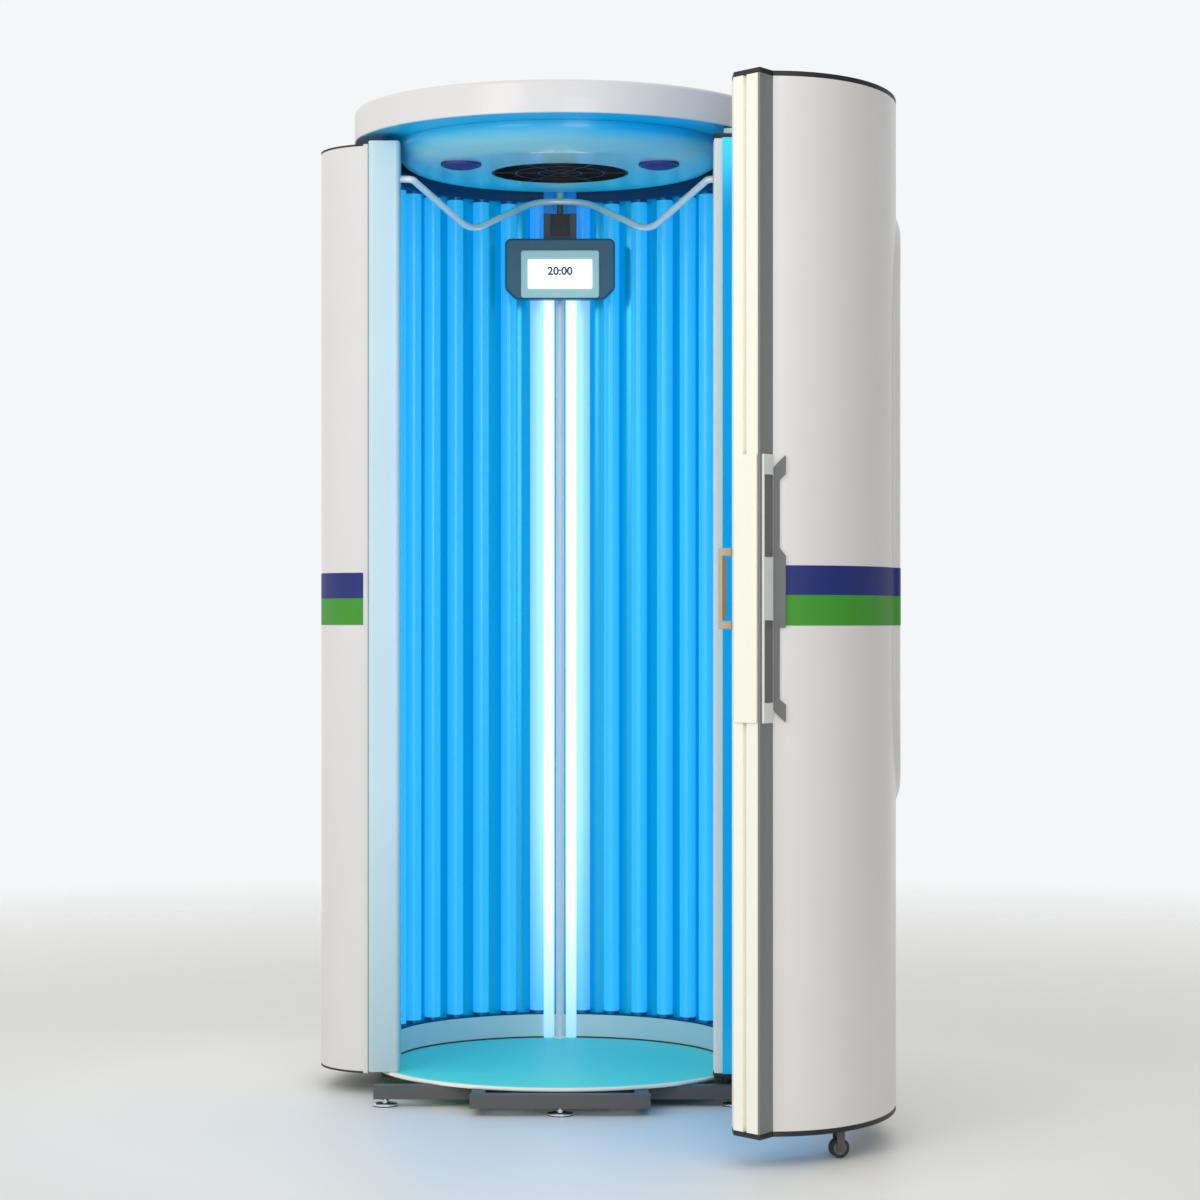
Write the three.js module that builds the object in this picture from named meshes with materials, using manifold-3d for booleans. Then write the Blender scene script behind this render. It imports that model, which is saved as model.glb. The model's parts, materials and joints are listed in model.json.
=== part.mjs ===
// Stand-up tanning booth: a round lamp cabin on a welded base, with a curved lamp door that swings on
// pivots at its right edge. Millimetres, +Z up, +Y to the back. The cabin axis is x = y = 0 while the
// pieces are drawn; the finished group is then moved so that its origin is the middle of its footprint.
import * as THREE from 'three';
import { mergeVertices } from 'three/addons/utils/BufferGeometryUtils.js';
import Module from 'manifold-3d';

const wasm = await Module();
wasm.setup();

// Clearances
const fit = 0.3;              // between pieces that rest on or touch each other
const roundFit = 0.8;         // between nested round pieces, which are drawn with flats
const swing = 6;              // between the closed door and the posts
const seam = 3;               // between neighbouring covers
const lap = 1;                // how far shapes run into each other where they are one solid

// Base
const beam = 30;              // square section of the base beams
const footPad = 28;           // radius of a foot's pad
const footNut = 9;            // radius of the lock nut on it
const footNutHeight = 4;
const footStem = 6;           // radius of its threaded stem
const footHeight = 16;        // floor to the underside of the beams
const padHeight = 6;
const railX = 177;            // long rails, to left and right of the axis
const noseX = 195;            // half length of the front beam
const noseOverhang = 23;      // front beam's middle, forward of the platform
const crossFrontGap = 68;     // front cross rail's middle, forward of the door's pivot
const crossFrontInset = 20;   // front cross rail's end, in from the post's outer side
const crossBackY = 268;
const crossBackInset = 110;   // back cross rail's end, in from the cover
const footInset = 25;         // from a cross rail's end to its foot
const plateThick = 7.7;       // platform and floor plate
const platformInset = 123;    // platform's edge, in from the cover
const rimWidth = 12;
const rimChamfer = 2;

// Cabin wall, in plan
const coverRadius = 550;
const coverWall = 4;
const returnRadius = 161;     // tighter bend that brings a side cover in to its post
const returnSweep = 74;       // degrees of that bend
const coverSeam = 45;         // degrees from the back to the seams beside the back cover
const postInset = 120;        // post's outer side, in from the cover's side
const postWidth = 70;
const postFrontY = -190;
const postDepth = 70;
const postWall = 4;
const postRound = 10;
const coverDrop = 4;          // covers hang this far below the top of the floor plate
const studWidth = 30;
const studDepth = 40;
const studGap = 4;            // between a stud and the covers

// Heights
const totalHeight = 2232;
const canopyHeight = 72;
const flangeThick = 3;        // ring that closes the canopy's underside, out from the ceiling
const postDrop = 16;          // post tops below the canopy
const coverStep = 2;          // cover tops below the post tops
const roofDrop = 24;          // roof plate's underside below the post tops
const roofThick = 6;

// Lamps
const lampRadius = 19;
const lampSides = 10;
const lampInset = 140;        // circle of lamp centres, in from the cover
const lampFirst = 7.6;        // degrees from the back to the first lamp
const lampPitch = 10.15;      // degrees
const lampsPerBank = 5;
const holderInset = 21;       // inner face of the holders, in from the lamp centres
const holderDepth = 24.4;
const holderHeight = 57.7;    // lower holders
const upperHolder = 34;       // height of the upper holders under the roof plate
const lampSeat = 20;          // lamp length held inside a holder
const ridgeOut = 4;           // reflector's ridges, outward from the lamp centres
const foldDepth = 20;
const sheet = 1.6;            // reflector sheet
const skirtInset = 6;         // skirting's face, in from the holders
const skirtWall = 4;
const skirtHeight = 55.7;
const wallEnd = 104;          // degrees from the back to the ends of skirting and reflectors

// Ceiling, fan and canopy
const ceilingDrop = 62;       // ceiling's underside below the canopy's lower edge
const ceilingSheet = 3;
const ceilingGap = 5;         // ceiling's wall, in from the skirting's face
const bowlWidth = 78;         // curved rim of the ceiling, in plan
const bowlRise = 53;          // and in height
const roundSides = 52;        // flats on the large round pieces
const canopyInset = 78;       // canopy's side, in from the cover
const canopyWall = 5.7;
const canopyRound = 8;
const lidThick = 6;
const fanHole = 158;
const exhaustHole = 150;
const ductGap = 2;            // duct's bore beyond the ceiling's fan hole
const ductWall = 3;
const bladeGap = 10;          // between the blade tips and the duct
const bladeCount = 5;
const bladePitch = 28;        // degrees
const bladeChord = 52;
const bladeThick = 3;
const bladeRoot = 6;          // blade length sunk in the hub
const hubRadius = 42;
const hubRise = 26;           // hub's underside above the ceiling's
const hubHeight = 34;
const hubFloor = 5;           // closed end of the hub's bore
const shaftRadius = 6;
const motorRadius = 46;
const motorHeight = 46;
const motorGap = 4;           // between hub and motor
const strutCount = 3;
const strutWidth = 14;
const strutRise = 12;         // struts above the motor's underside
const guardWire = 4;
const guardRings = 3;
const guardSpokes = 6;
const spokeInset = 0.5;       // spokes are this much thinner than the rings, above and below
const speakerRadius = 46;
const speakerDrop = 14;
const speakerInset = 155;     // speaker's middle, sideways in from the ceiling's rim
const speakerY = -150;

// Back of the cabin
const poleRadius = 9;
const poleGap = 15;           // pole's middle, in from the skirting's face
const stripWidth = 26;
const stripDepth = 9;
const stripX = 27;
const railRadius = 8;
const railEndDrop = 36;       // rail's ends, knees and top below the ceiling
const railStub = 26;
const kneeX = 208;
const kneeY = 95;
const kneeDrop = 121;
const apexX = 60;
const apexGap = 26;           // rail's top, forward of the pole
const apexDrop = 18;
const railBend = 55;
const screenWidth = 264;
const screenHeight = 146;
const screenDepth = 36;
const screenDrop = 186;       // middle of the screen below the ceiling
const screenRound = 14;
const screenChamfer = 26;     // lower corners of the housing
const bezelWidth = 188;
const bezelHeight = 114;
const bezelThick = 5;
const bezelDrop = 13;         // bezel's middle below the housing's middle
const displayWidth = 154;
const displayHeight = 70;
const displayThick = 2;
const displayRound = 3;
const bracketWidth = 80;
const bracketDepth = 28;
const bracketReach = 32;      // bracket's lower end below the screen's middle
const channelWidth = 46;
const channelDepth = 10;
const saddleHeight = 22;      // peg between the bracket and the rail

// Behind the reflectors
const trayGap = 18;           // between the reflector's troughs and the tray
const trayFrom = 52;          // degrees from the back
const trayTo = 82;
const trayHeight = 1346;
const trayWall = 3;
const ballastCount = 5;
const ballastWidth = 60;
const ballastDepth = 38;
const ballastHeight = 200;
const glandZ = 150;
const glandRadius = 14;
const glandNut = 20;
const glandLength = 22;
const glandGrip = 4;          // gland's length inside the cover
const glandTaper = 4;
const ventCount = 5;
const ventWidth = 220;
const ventHeight = 8;
const ventPitch = 26;
const ventRise = 186;         // lowest vent above the floor plate
const ventDrop = 262;         // lowest of the upper vents below the cover's top

// Door, drawn closed and then swung open by restOpen
const restOpen = 90;          // degrees
const pivotInset = 34;        // pivot, in from the post's outer side
const pivotGap = 62;          // pivot, forward of the posts
const doorRise = 4;           // door's underside above the platform
const doorInset = 12;         // curved panel's end, in from the post's outer side
const doorBulge = 283;        // how far it bulges forward
const doorWall = 4;
const doorDepth = 72;         // thickness of the door from panel to reflector
const capThick = 10;
const edgeReach = 76;         // straight part behind the curved panel
const noseOut = 42;           // free edge nose, outward from the panel
const noseBack = 28;          // and back from it
const hingeNose = 28;
const hingeNoseBack = 22;
const edgeInset = 18;         // from the panel's line in to the edge's back corner
const ribGrooveAt = 27;       // along the edge face from its inner corner
const ribGroove = 11;
const ribDepth = 8;
const edgeWall = 10;
const edgeStrip = 5;
const doorLamps = 10;
const doorLampInset = 26;     // lamp centres inside the door's reflector
const doorHolderWide = 16;    // half width of a door lamp holder
const doorRidge = 8;
const returnGap = 18;         // reflector's straight sides end this far inside the door's back
const raisedHalf = 143;       // half width of the raised panel
const raisedRise = 622;       // its lower end above the door's
const raisedDrop = 222;       // its upper end below the door's
const raisedStep = 5;
const raisedInset = 22;       // second step, in from the first
const raisedRound = 118;      // rounded corners of its ends
const pinRadius = 9;
const pinLength = 9;
const shoulderRadius = 14;
const hingePlateHalf = 34;    // half width of a hinge bracket
const hingePlate = 12;
const rollerRadius = 19.5;
const rollerWidth = 22;
const rollerHeight = 20;      // axle above the floor
const rollerParam = 214;      // degrees of ellipse parameter, near the free edge
const axleRadius = 4;
const axleEnd = 2;            // axle beyond the fork
const forkWall = 4;

// Handle on the free edge
const handleRise = 809;       // above the door's lower end
const handleHeight = 524;
const handlePlateWidth = 64;
const handlePlate = 5;
const handleRailWidth = 38;
const windowHeight = 160;
const windowWidth = 20;
const windowInset = 40;       // from the handle's ends to its windows
const guardWidth = 25;
const guardStep = 13;
const guardThick = 6;
const innerPullRise = 992;    // above the door's lower end
const innerPullHeight = 160;
const innerPullReach = 26;
const innerPullWide = 14;
const innerPullBar = 8;

// Derived levels
const beamTop = footHeight + beam;
const floorLow = beamTop + fit;
const floorTop = floorLow + plateThick;
const onFloor = floorTop + fit;
const canopyBottom = totalHeight - canopyHeight;
const ceilingZ = canopyBottom - ceilingDrop;
const postTop = canopyBottom - postDrop;
const coverTop = postTop - coverStep;
const wallTop = postTop - roofDrop;
const underRoof = wallTop - fit;
const roofTop = wallTop + roofThick;
const holderTop = onFloor + holderHeight;
const holderLow = wallTop - upperHolder;
const skirtTop = onFloor + skirtHeight;
const trayTop = onFloor + trayHeight;
const screenZ = ceilingZ - screenDrop;
const hubLow = ceilingZ + hubRise;
const doorLow = floorTop + doorRise;
const doorTop = coverTop;
const raisedLow = doorLow + raisedRise;
const raisedTop = doorTop - raisedDrop;
const handleLow = doorLow + handleRise;
const handleTop = handleLow + handleHeight;
const innerPullLow = doorLow + innerPullRise;
const innerPullTop = innerPullLow + innerPullHeight;

// Derived plan
const platformRadius = coverRadius - platformInset;
const lampCircle = coverRadius - lampInset;
const holderInner = lampCircle - holderInset;
const ridgeRadius = lampCircle + ridgeOut;
const troughRadius = ridgeRadius + foldDepth;
const trayRadius = troughRadius + trayGap;
const skirtRadius = holderInner - skirtInset;
const ceilingRadius = skirtRadius - ceilingGap;
const bowlFlat = ceilingRadius - bowlWidth;
const speakerX = ceilingRadius - speakerInset;
const canopyRadius = coverRadius - canopyInset;
const ductInner = fanHole + ductGap;
const bladeRadius = ductInner - bladeGap;
const poleY = skirtRadius - poleGap;
const apexY = poleY - apexGap;
const apexZ = ceilingZ - apexDrop;
const postOuterX = coverRadius - postInset;
const postInnerX = postOuterX - postWidth;
const postBackY = postFrontY + postDepth;
const doorHalf = postOuterX - doorInset;
const doorBackY = postFrontY - swing;
const panelY = doorBackY - edgeReach;
const pivotX = postOuterX - pivotInset;
const pivotY = postFrontY - pivotGap;
const noseY = -platformRadius - noseOverhang;
const crossFrontX = postOuterX - crossFrontInset;
const crossFrontY = pivotY - crossFrontGap;
const crossBackX = coverRadius - crossBackInset;

const rad = THREE.MathUtils.degToRad;
const point = (x, y) => new THREE.Vector2(x, y);
// A point at a radius, at an angle in degrees from the back, positive to the right.
const polar = (r, deg) => point(r * Math.sin(rad(deg)), r * Math.cos(rad(deg)));

// Points of an arc about (cx, cy), angles in degrees from +X.
function arc(cx, cy, r, from, to, steps) {
  const points = [];
  for (let i = 0; i <= steps; i++) {
    const a = rad(from + (to - from) * i / steps);
    points.push(point(cx + r * Math.cos(a), cy + r * Math.sin(a)));
  }
  return points;
}

// Points of the door's front ellipse, drawn in by an inset, parameter in degrees from 180 to 360.
function doorArc(inset, from, to, steps) {
  const points = [];
  for (let i = 0; i <= steps; i++) {
    const t = rad(from + (to - from) * i / steps);
    points.push(point((doorHalf - inset) * Math.cos(t), panelY + (doorBulge - inset) * Math.sin(t)));
  }
  return points;
}

const flip = (points) => points.map((p) => point(-p.x, p.y));

// A plan outline raised from one level to another.
function prism(points, low, high, hole) {
  const clockwise = THREE.ShapeUtils.isClockWise(points);
  const shape = new THREE.Shape(clockwise ? [...points].reverse() : points);
  if (hole) shape.holes.push(new THREE.Path(hole));
  const geometry = new THREE.ExtrudeGeometry(shape, { depth: high - low, bevelEnabled: false });
  return geometry.translate(0, 0, low);
}

function slab(x0, x1, y0, y1, z0, z1) {
  const geometry = new THREE.BoxGeometry(x1 - x0, y1 - y0, z1 - z0);
  return geometry.translate((x0 + x1) / 2, (y0 + y1) / 2, (z0 + z1) / 2);
}

function rod(x, y, radius, low, high, sides = 20) {
  const geometry = new THREE.CylinderGeometry(radius, radius, high - low, sides);
  return geometry.rotateX(Math.PI / 2).translate(x, y, (low + high) / 2);
}

// A profile of [radius, z] pairs turned about the cabin axis.
function turned(profile, sides) {
  const closed = profile[0][0] > 0 ? [...profile, profile[0]] : profile;
  const points = closed.map(([r, z]) => point(r, z));
  return new THREE.LatheGeometry(points, sides).rotateX(Math.PI / 2);
}

// A ring sector between two angles from the back.
function sector(inner, outer, from, to, low, high, steps) {
  const rim = arc(0, 0, outer, 90 - from, 90 - to, steps);
  const bore = arc(0, 0, inner, 90 - to, 90 - from, steps);
  return prism([...rim, ...bore], low, high);
}

// A rounded rectangle standing across the cabin, from its front face back; a chamfer takes its lower corners.
function panelXZ(width, height, round, frontY, depth, z, chamfer = 0) {
  const w = width / 2;
  const h = height / 2;
  const lowLeft = chamfer ? [point(-w, chamfer - h), point(chamfer - w, -h)]
    : arc(round - w, round - h, round, 180, 270, 5);
  const points = [
    ...arc(w - round, h - round, round, 0, 90, 5), ...arc(round - w, h - round, round, 90, 180, 5),
    ...lowLeft, ...flip(lowLeft).reverse(),
  ];
  return prism(points, 0, depth).rotateX(Math.PI / 2).translate(0, frontY + depth, z);
}

function solid(geometry) {
  const bare = geometry.clone();
  bare.deleteAttribute('normal');
  bare.deleteAttribute('uv');
  const merged = mergeVertices(bare, 1e-4);
  return new wasm.Manifold(new wasm.Mesh({
    numProp: 3,
    vertProperties: new Float32Array(merged.attributes.position.array),
    triVerts: new Uint32Array(merged.index.array),
  }));
}

function surface(manifold) {
  const mesh = manifold.getMesh();
  const geometry = new THREE.BufferGeometry();
  geometry.setAttribute('position', new THREE.BufferAttribute(mesh.vertProperties, 3));
  geometry.setIndex(new THREE.BufferAttribute(mesh.triVerts, 1));
  geometry.computeVertexNormals();
  return geometry;
}

const join = (...pieces) => surface(pieces.map(solid).reduce((whole, piece) => whole.add(piece)));
const cut = (whole, ...tools) =>
  surface(tools.map(solid).reduce((left, tool) => left.subtract(tool), solid(whole)));

const finish = (color, roughness, metalness = 0) =>
  new THREE.MeshStandardMaterial({ color, roughness, metalness });
const finishes = {
  white: finish('#dedad8', 0.35),
  cream: finish('#fdf8e6', 0.45),
  darkSteel: finish('#4a4847', 0.5, 0.4),
  black: finish('#1c1c1d', 0.55),
  grey: finish('#8f9597', 0.45),
  edgeGrey: finish('#6f7170', 0.5),
  silver: finish('#c4c8ca', 0.3, 0.9),
  chrome: finish('#e6e8ea', 0.08, 1),
  reflector: finish('#bfe2f7', 0.12, 0.9),
  lamp: finish('#33aeff', 0.3),
  glow: finish('#f4fbff', 0.3),
  teal: finish('#3fb1d2', 0.35),
  screen: finish('#22506b', 0.4),
  bezel: finish('#8fc1bf', 0.35),
  display: finish('#f2f6fa', 0.2),
  violet: finish('#2b2f7a', 0.5),
  rubber: finish('#2b2b2c', 0.8),
  beige: finish('#b9a68a', 0.45),
};

const booth = new THREE.Group();
const cabin = new THREE.Group();
const door = new THREE.Group();
door.position.set(pivotX, pivotY, 0);
door.rotation.z = rad(restOpen);
booth.add(cabin, door);

function place(group, name, geometry, material) {
  const mesh = new THREE.Mesh(geometry, material);
  mesh.name = name;
  group.add(mesh);
  return mesh;
}
const put = (name, geometry, material) => place(cabin, name, geometry, material);
// Door pieces are drawn where they are when it is closed, and held about the pivot.
const hang = (name, geometry, material) =>
  place(door, name, geometry.translate(-pivotX, -pivotY, 0), material);

// Base frame, feet and platform
function buildBase() {
  const half = beam / 2;
  const rail = (x) => slab(x - half, x + half, noseY, crossBackY, footHeight, beamTop);
  const cross = (reach, y) => slab(-reach, reach, y - half, y + half, footHeight, beamTop);
  put('base_frame', join(
    rail(-railX), rail(railX), cross(noseX, noseY), cross(crossFrontX, crossFrontY),
    cross(crossFrontX, 0), cross(crossBackX, crossBackY),
  ), finishes.darkSteel);

  const feet = {
    foot_front_left: [footInset - crossFrontX, crossFrontY],
    foot_front_right: [crossFrontX - footInset, crossFrontY],
    foot_front_centre: [0, noseY],
    foot_back_left: [footInset - crossBackX, crossBackY],
    foot_back_right: [crossBackX - footInset, crossBackY],
  };
  const under = footHeight - fit;
  const nutTop = padHeight + footNutHeight;
  const profile = [
    [0, 0], [footPad, 0], [footPad, padHeight / 2], [footNut, padHeight], [footNut, nutTop],
    [footStem, nutTop], [footStem, under], [0, under],
  ];
  for (const [name, [x, y]] of Object.entries(feet)) {
    put(name, turned(profile, 12).translate(x, y, 0), finishes.chrome);
  }

  const plateRadius = platformRadius - rimWidth;
  put('platform', turned([
    [0, floorLow], [plateRadius, floorLow], [plateRadius, floorTop], [0, floorTop],
  ], roundSides), finishes.teal);
  put('platform_rim', turned([
    [plateRadius + fit, floorLow], [platformRadius, floorLow], [platformRadius, floorTop - rimChamfer],
    [platformRadius - rimChamfer, floorTop], [plateRadius + fit, floorTop],
  ], roundSides), finishes.cream);
}

// Plan of the cabin between an inner radius and the covers, back from the posts
function cabinPlan(inner) {
  const front = postBackY + fit;
  const outer = coverRadius - coverWall - roundFit;
  const bend = returnRadius - coverWall - roundFit;
  const bendX = coverRadius - returnRadius;
  const bendEnd = -THREE.MathUtils.radToDeg(Math.asin(-front / bend));
  const innerEnd = -THREE.MathUtils.radToDeg(Math.asin(-front / inner));
  const rightBend = arc(bendX, 0, bend, bendEnd, 0, 8);
  return [
    ...rightBend, ...arc(0, 0, outer, 0, 180, 48).slice(1, -1), ...flip(rightBend).reverse(),
    ...arc(0, 0, inner, 180 - innerEnd, innerEnd, 48),
  ];
}

// Covers, posts and what ties them
function buildShell() {
  put('floor_plate', prism(cabinPlan(platformRadius + roundFit), floorLow, floorTop), finishes.black);
  put('roof_plate', join(
    prism(cabinPlan(holderInner), wallTop, roofTop),
    sector(ceilingRadius + holderDepth, ceilingRadius + holderDepth + roofThick, -wallEnd, wallEnd,
      roofTop - lap, canopyBottom - fit, 28),
  ), finishes.black);

  const coverLow = floorTop - coverDrop - plateThick / 2;
  const bendX = coverRadius - returnRadius;
  const seamAngle = THREE.MathUtils.radToDeg(seam / 2 / coverRadius);
  const sideFrom = 90 - coverSeam - seamAngle;
  const sideOutline = [
    ...arc(0, 0, coverRadius, sideFrom, 0, 14), ...arc(bendX, 0, returnRadius, 0, -returnSweep, 12).slice(1),
    ...arc(bendX, 0, returnRadius - coverWall, -returnSweep, 0, 12),
    ...arc(0, 0, coverRadius - coverWall, 0, sideFrom, 14).slice(1),
  ];
  put('cover_right', prism(sideOutline, coverLow, coverTop), finishes.white);
  put('cover_left', prism(flip(sideOutline), coverLow, coverTop), finishes.white);

  const vents = [];
  for (let i = 0; i < ventCount; i++) {
    for (const base of [floorTop + ventRise, coverTop - ventDrop]) {
      const z = base + i * ventPitch;
      const w = ventWidth / 2;
      vents.push(slab(-w, w, coverRadius / 2, coverRadius + glandNut, z, z + ventHeight));
    }
  }
  const glandHole = new THREE.CylinderGeometry(glandRadius + fit, glandRadius + fit, coverRadius, 20);
  const backSweep = coverSeam - seamAngle;
  put('cover_back', cut(
    sector(coverRadius - coverWall, coverRadius, -backSweep, backSweep, coverLow, coverTop, 22),
    ...vents, glandHole.translate(0, coverRadius, glandZ),
  ), finishes.white);
  const nutLow = glandGrip + coverWall + fit * 2;
  const gland = turned([
    [0, 0], [glandRadius, 0], [glandRadius, nutLow], [glandNut, nutLow],
    [glandNut, glandLength - glandTaper], [glandNut - glandTaper, glandLength], [0, glandLength],
  ], 20);
  const glandStart = coverRadius - coverWall - glandGrip;
  put('mains_inlet', gland.rotateX(-Math.PI / 2).translate(0, glandStart, glandZ), finishes.rubber);

  const postOutline = (inset) => {
    const x0 = postInnerX + inset;
    const x1 = postOuterX - inset;
    const y0 = postFrontY + inset;
    const y1 = postBackY - inset;
    const r = postRound - inset;
    return [point(x1, y1), point(x0, y1), ...arc(x0 + r, y0 + r, r, 180, 270, 4),
      ...arc(x1 - r, y0 + r, r, 270, 360, 4)];
  };
  put('post_right', prism(postOutline(0), onFloor, postTop, postOutline(postWall)), finishes.white);
  const leftHollow = flip(postOutline(postWall));
  put('post_left', prism(flip(postOutline(0)), onFloor, postTop, leftHollow), finishes.white);

  const studOuter = coverRadius - coverWall - studGap;
  for (const [name, side] of [['stud_left', -1], ['stud_right', 1]]) {
    const stud = slab(-studWidth / 2, studWidth / 2, studOuter - studDepth, studOuter, onFloor, underRoof);
    put(name, stud.rotateZ(rad(-side * coverSeam)), finishes.darkSteel);
  }
}

// Lamp tube standing at a point
const lampAt = (x, y, low, high) => rod(x, y, lampRadius, low, high, lampSides);

// Cabin lamps in banks of five, each bank standing in its own holder strips
function buildLamps() {
  const banks = { back: 0, front: lampsPerBank };
  for (const [side, sign] of [['left', -1], ['right', 1]]) {
    for (const [place, first] of Object.entries(banks)) {
      const angle = (i) => sign * (lampFirst + lampPitch * (first + i));
      const reach = lampPitch / 2 - THREE.MathUtils.radToDeg(fit / 2 / holderInner);
      const from = Math.min(angle(0), angle(lampsPerBank - 1)) - reach;
      const to = Math.max(angle(0), angle(lampsPerBank - 1)) + reach;
      const strip = (low, high) =>
        sector(holderInner, holderInner + holderDepth, from, to, low, high, lampsPerBank * 2);
      const pieces = [strip(onFloor, holderTop), strip(holderLow, underRoof)];
      for (let i = 0; i < lampsPerBank; i++) {
        const at = polar(lampCircle, angle(i));
        pieces.push(lampAt(at.x, at.y, holderTop - lampSeat, holderLow + lampSeat));
      }
      put(`lamp_bank_${side}_${place}`, join(...pieces), finishes.lamp);
    }

    const folds = (offset) => {
      const points = [];
      for (let i = 0; i < lampsPerBank * 2; i++) {
        const a = sign * (lampFirst + lampPitch * i);
        points.push(polar(ridgeRadius + offset, a - sign * lampPitch / 2));
        points.push(polar(troughRadius + offset, a - sign * lampPitch / 4));
        points.push(polar(troughRadius + offset, a + sign * lampPitch / 4));
      }
      points.push(polar(ridgeRadius + offset, sign * (lampFirst + lampPitch * (lampsPerBank * 2 - 0.5))));
      return points;
    };
    put(`reflector_${side}`, prism([...folds(0), ...folds(sheet).reverse()], onFloor, underRoof),
      finishes.reflector);

    const trayOuter = trayRadius + trayWall;
    const tray = sector(trayRadius, trayOuter, sign * trayFrom, sign * trayTo, onFloor, trayTop, 6);
    const ballasts = [];
    for (let i = 0; i < ballastCount; i++) {
      const low = onFloor + (trayTop - onFloor) * (i + 0.15) / ballastCount;
      const box = slab(-ballastWidth / 2, ballastWidth / 2, trayRadius, trayRadius + ballastDepth,
        low, low + ballastHeight);
      ballasts.push(box.rotateZ(rad(-sign * (trayFrom + trayTo) / 2)));
    }
    put(`ballast_tray_${side}`, join(tray, ...ballasts), finishes.silver);
  }
  put('skirting', sector(skirtRadius, skirtRadius + skirtWall, -wallEnd, wallEnd, onFloor, skirtTop, 42),
    finishes.grey);
}

// Ceiling dish, canopy, fan and speakers
function buildTop() {
  const ceilingTop = ceilingZ + ceilingSheet;
  const wallInner = ceilingRadius - ceilingSheet;
  const wallTopZ = canopyBottom - fit;
  const bowl = (rim, low) => [0, 30, 60, 90].map((deg) => [
    bowlFlat + (rim - bowlFlat) * Math.sin(rad(deg)), low + bowlRise * (1 - Math.cos(rad(deg))),
  ]);
  put('ceiling', turned([
    [fanHole, ceilingZ], ...bowl(ceilingRadius, ceilingZ), [ceilingRadius, wallTopZ], [wallInner, wallTopZ],
    ...bowl(wallInner, ceilingTop).reverse(), [fanHole, ceilingTop],
  ], roundSides), finishes.white);
  const lidLow = totalHeight - lidThick;
  const bandInner = canopyRadius - canopyWall;
  put('canopy', turned([
    [wallInner, canopyBottom], [canopyRadius, canopyBottom], [canopyRadius, totalHeight - canopyRound],
    [canopyRadius - canopyRound / 3, totalHeight - canopyRound / 3],
    [canopyRadius - canopyRound, totalHeight], [exhaustHole, totalHeight], [exhaustHole, lidLow],
    [bandInner, lidLow], [bandInner, canopyBottom + flangeThick], [wallInner, canopyBottom + flangeThick],
  ], roundSides), finishes.white);

  const ductLow = ceilingTop + fit;
  const ductTop = lidLow - fit;
  const ductOuter = ductInner + ductWall;
  put('fan_duct', turned([
    [ductInner, ductLow], [ductOuter, ductLow], [ductOuter, ductTop], [ductInner, ductTop],
  ], 32), finishes.black);
  const motorLow = hubLow + hubHeight + motorGap;
  const motorParts = [rod(0, 0, motorRadius, motorLow, motorLow + motorHeight, 24),
    rod(0, 0, shaftRadius, hubLow + hubFloor + lap, motorLow + lap, 16)];
  const strutLow = motorLow + strutRise;
  const strutEnd = ductInner - roundFit * 1.5;
  for (let i = 0; i < strutCount; i++) {
    const strut = slab(0, strutEnd, -strutWidth / 2, strutWidth / 2, strutLow, strutLow + strutWidth);
    motorParts.push(strut.rotateZ(rad(360 / strutCount * (i + 0.25))));
  }
  put('fan_motor', join(...motorParts), finishes.darkSteel);

  const blades = [];
  for (let i = 0; i < bladeCount; i++) {
    const blade = slab(hubRadius - bladeRoot, bladeRadius, -bladeChord / 2, bladeChord / 2,
      -bladeThick / 2, bladeThick / 2).rotateX(rad(bladePitch));
    blades.push(blade.translate(0, 0, hubLow + hubHeight / 2).rotateZ(rad(360 / bladeCount * i)));
  }
  const hub = rod(0, 0, hubRadius, hubLow, hubLow + hubHeight, 24);
  const bore = rod(0, 0, shaftRadius + fit, hubLow + hubFloor, hubLow + hubHeight + lap, 16);
  put('fan_rotor', cut(join(hub, ...blades), bore), finishes.black);

  const guardOuter = fanHole - fit;
  const wires = [];
  for (let i = 1; i <= guardRings; i++) {
    const r = guardOuter * i / guardRings;
    const inner = r - guardWire;
    wires.push(turned([[inner, ceilingZ], [r, ceilingZ], [r, ceilingTop], [inner, ceilingTop]], 20));
  }
  for (let i = 0; i < guardSpokes / 2; i++) {
    const half = guardOuter - guardWire / 2;
    const spoke = slab(-half, half, -guardWire / 2, guardWire / 2, ceilingZ + spokeInset,
      ceilingTop - spokeInset);
    wires.push(spoke.rotateZ(rad(360 / guardSpokes * i)));
  }
  put('fan_guard', join(...wires), finishes.black);

  const under = ceilingZ - fit;
  for (const [name, side] of [['speaker_left', -1], ['speaker_right', 1]]) {
    const dome = turned([
      [0, under - speakerDrop], [speakerRadius * 0.6, under - speakerDrop * 0.85],
      [speakerRadius * 0.92, under - speakerDrop * 0.5], [speakerRadius, under - speakerDrop * 0.2],
      [speakerRadius, under], [0, under],
    ], 24);
    put(name, dome.translate(side * speakerX, speakerY, 0), finishes.violet);
  }
}

// Straight runs joined by rounded bends
function bentPath(points, bend) {
  const path = new THREE.CurvePath();
  let from = points[0];
  for (let i = 1; i < points.length - 1; i++) {
    const corner = points[i];
    const before = corner.clone().sub(points[i - 1]);
    const after = points[i + 1].clone().sub(corner);
    const back = Math.min(bend, before.length() / 2.2, after.length() / 2.2);
    const enter = corner.clone().addScaledVector(before.normalize(), -back);
    const leave = corner.clone().addScaledVector(after.normalize(), back);
    path.add(new THREE.LineCurve3(from, enter));
    path.add(new THREE.QuadraticBezierCurve3(enter, corner, leave));
    from = leave;
  }
  path.add(new THREE.LineCurve3(from, points[points.length - 1]));
  return path;
}

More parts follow.
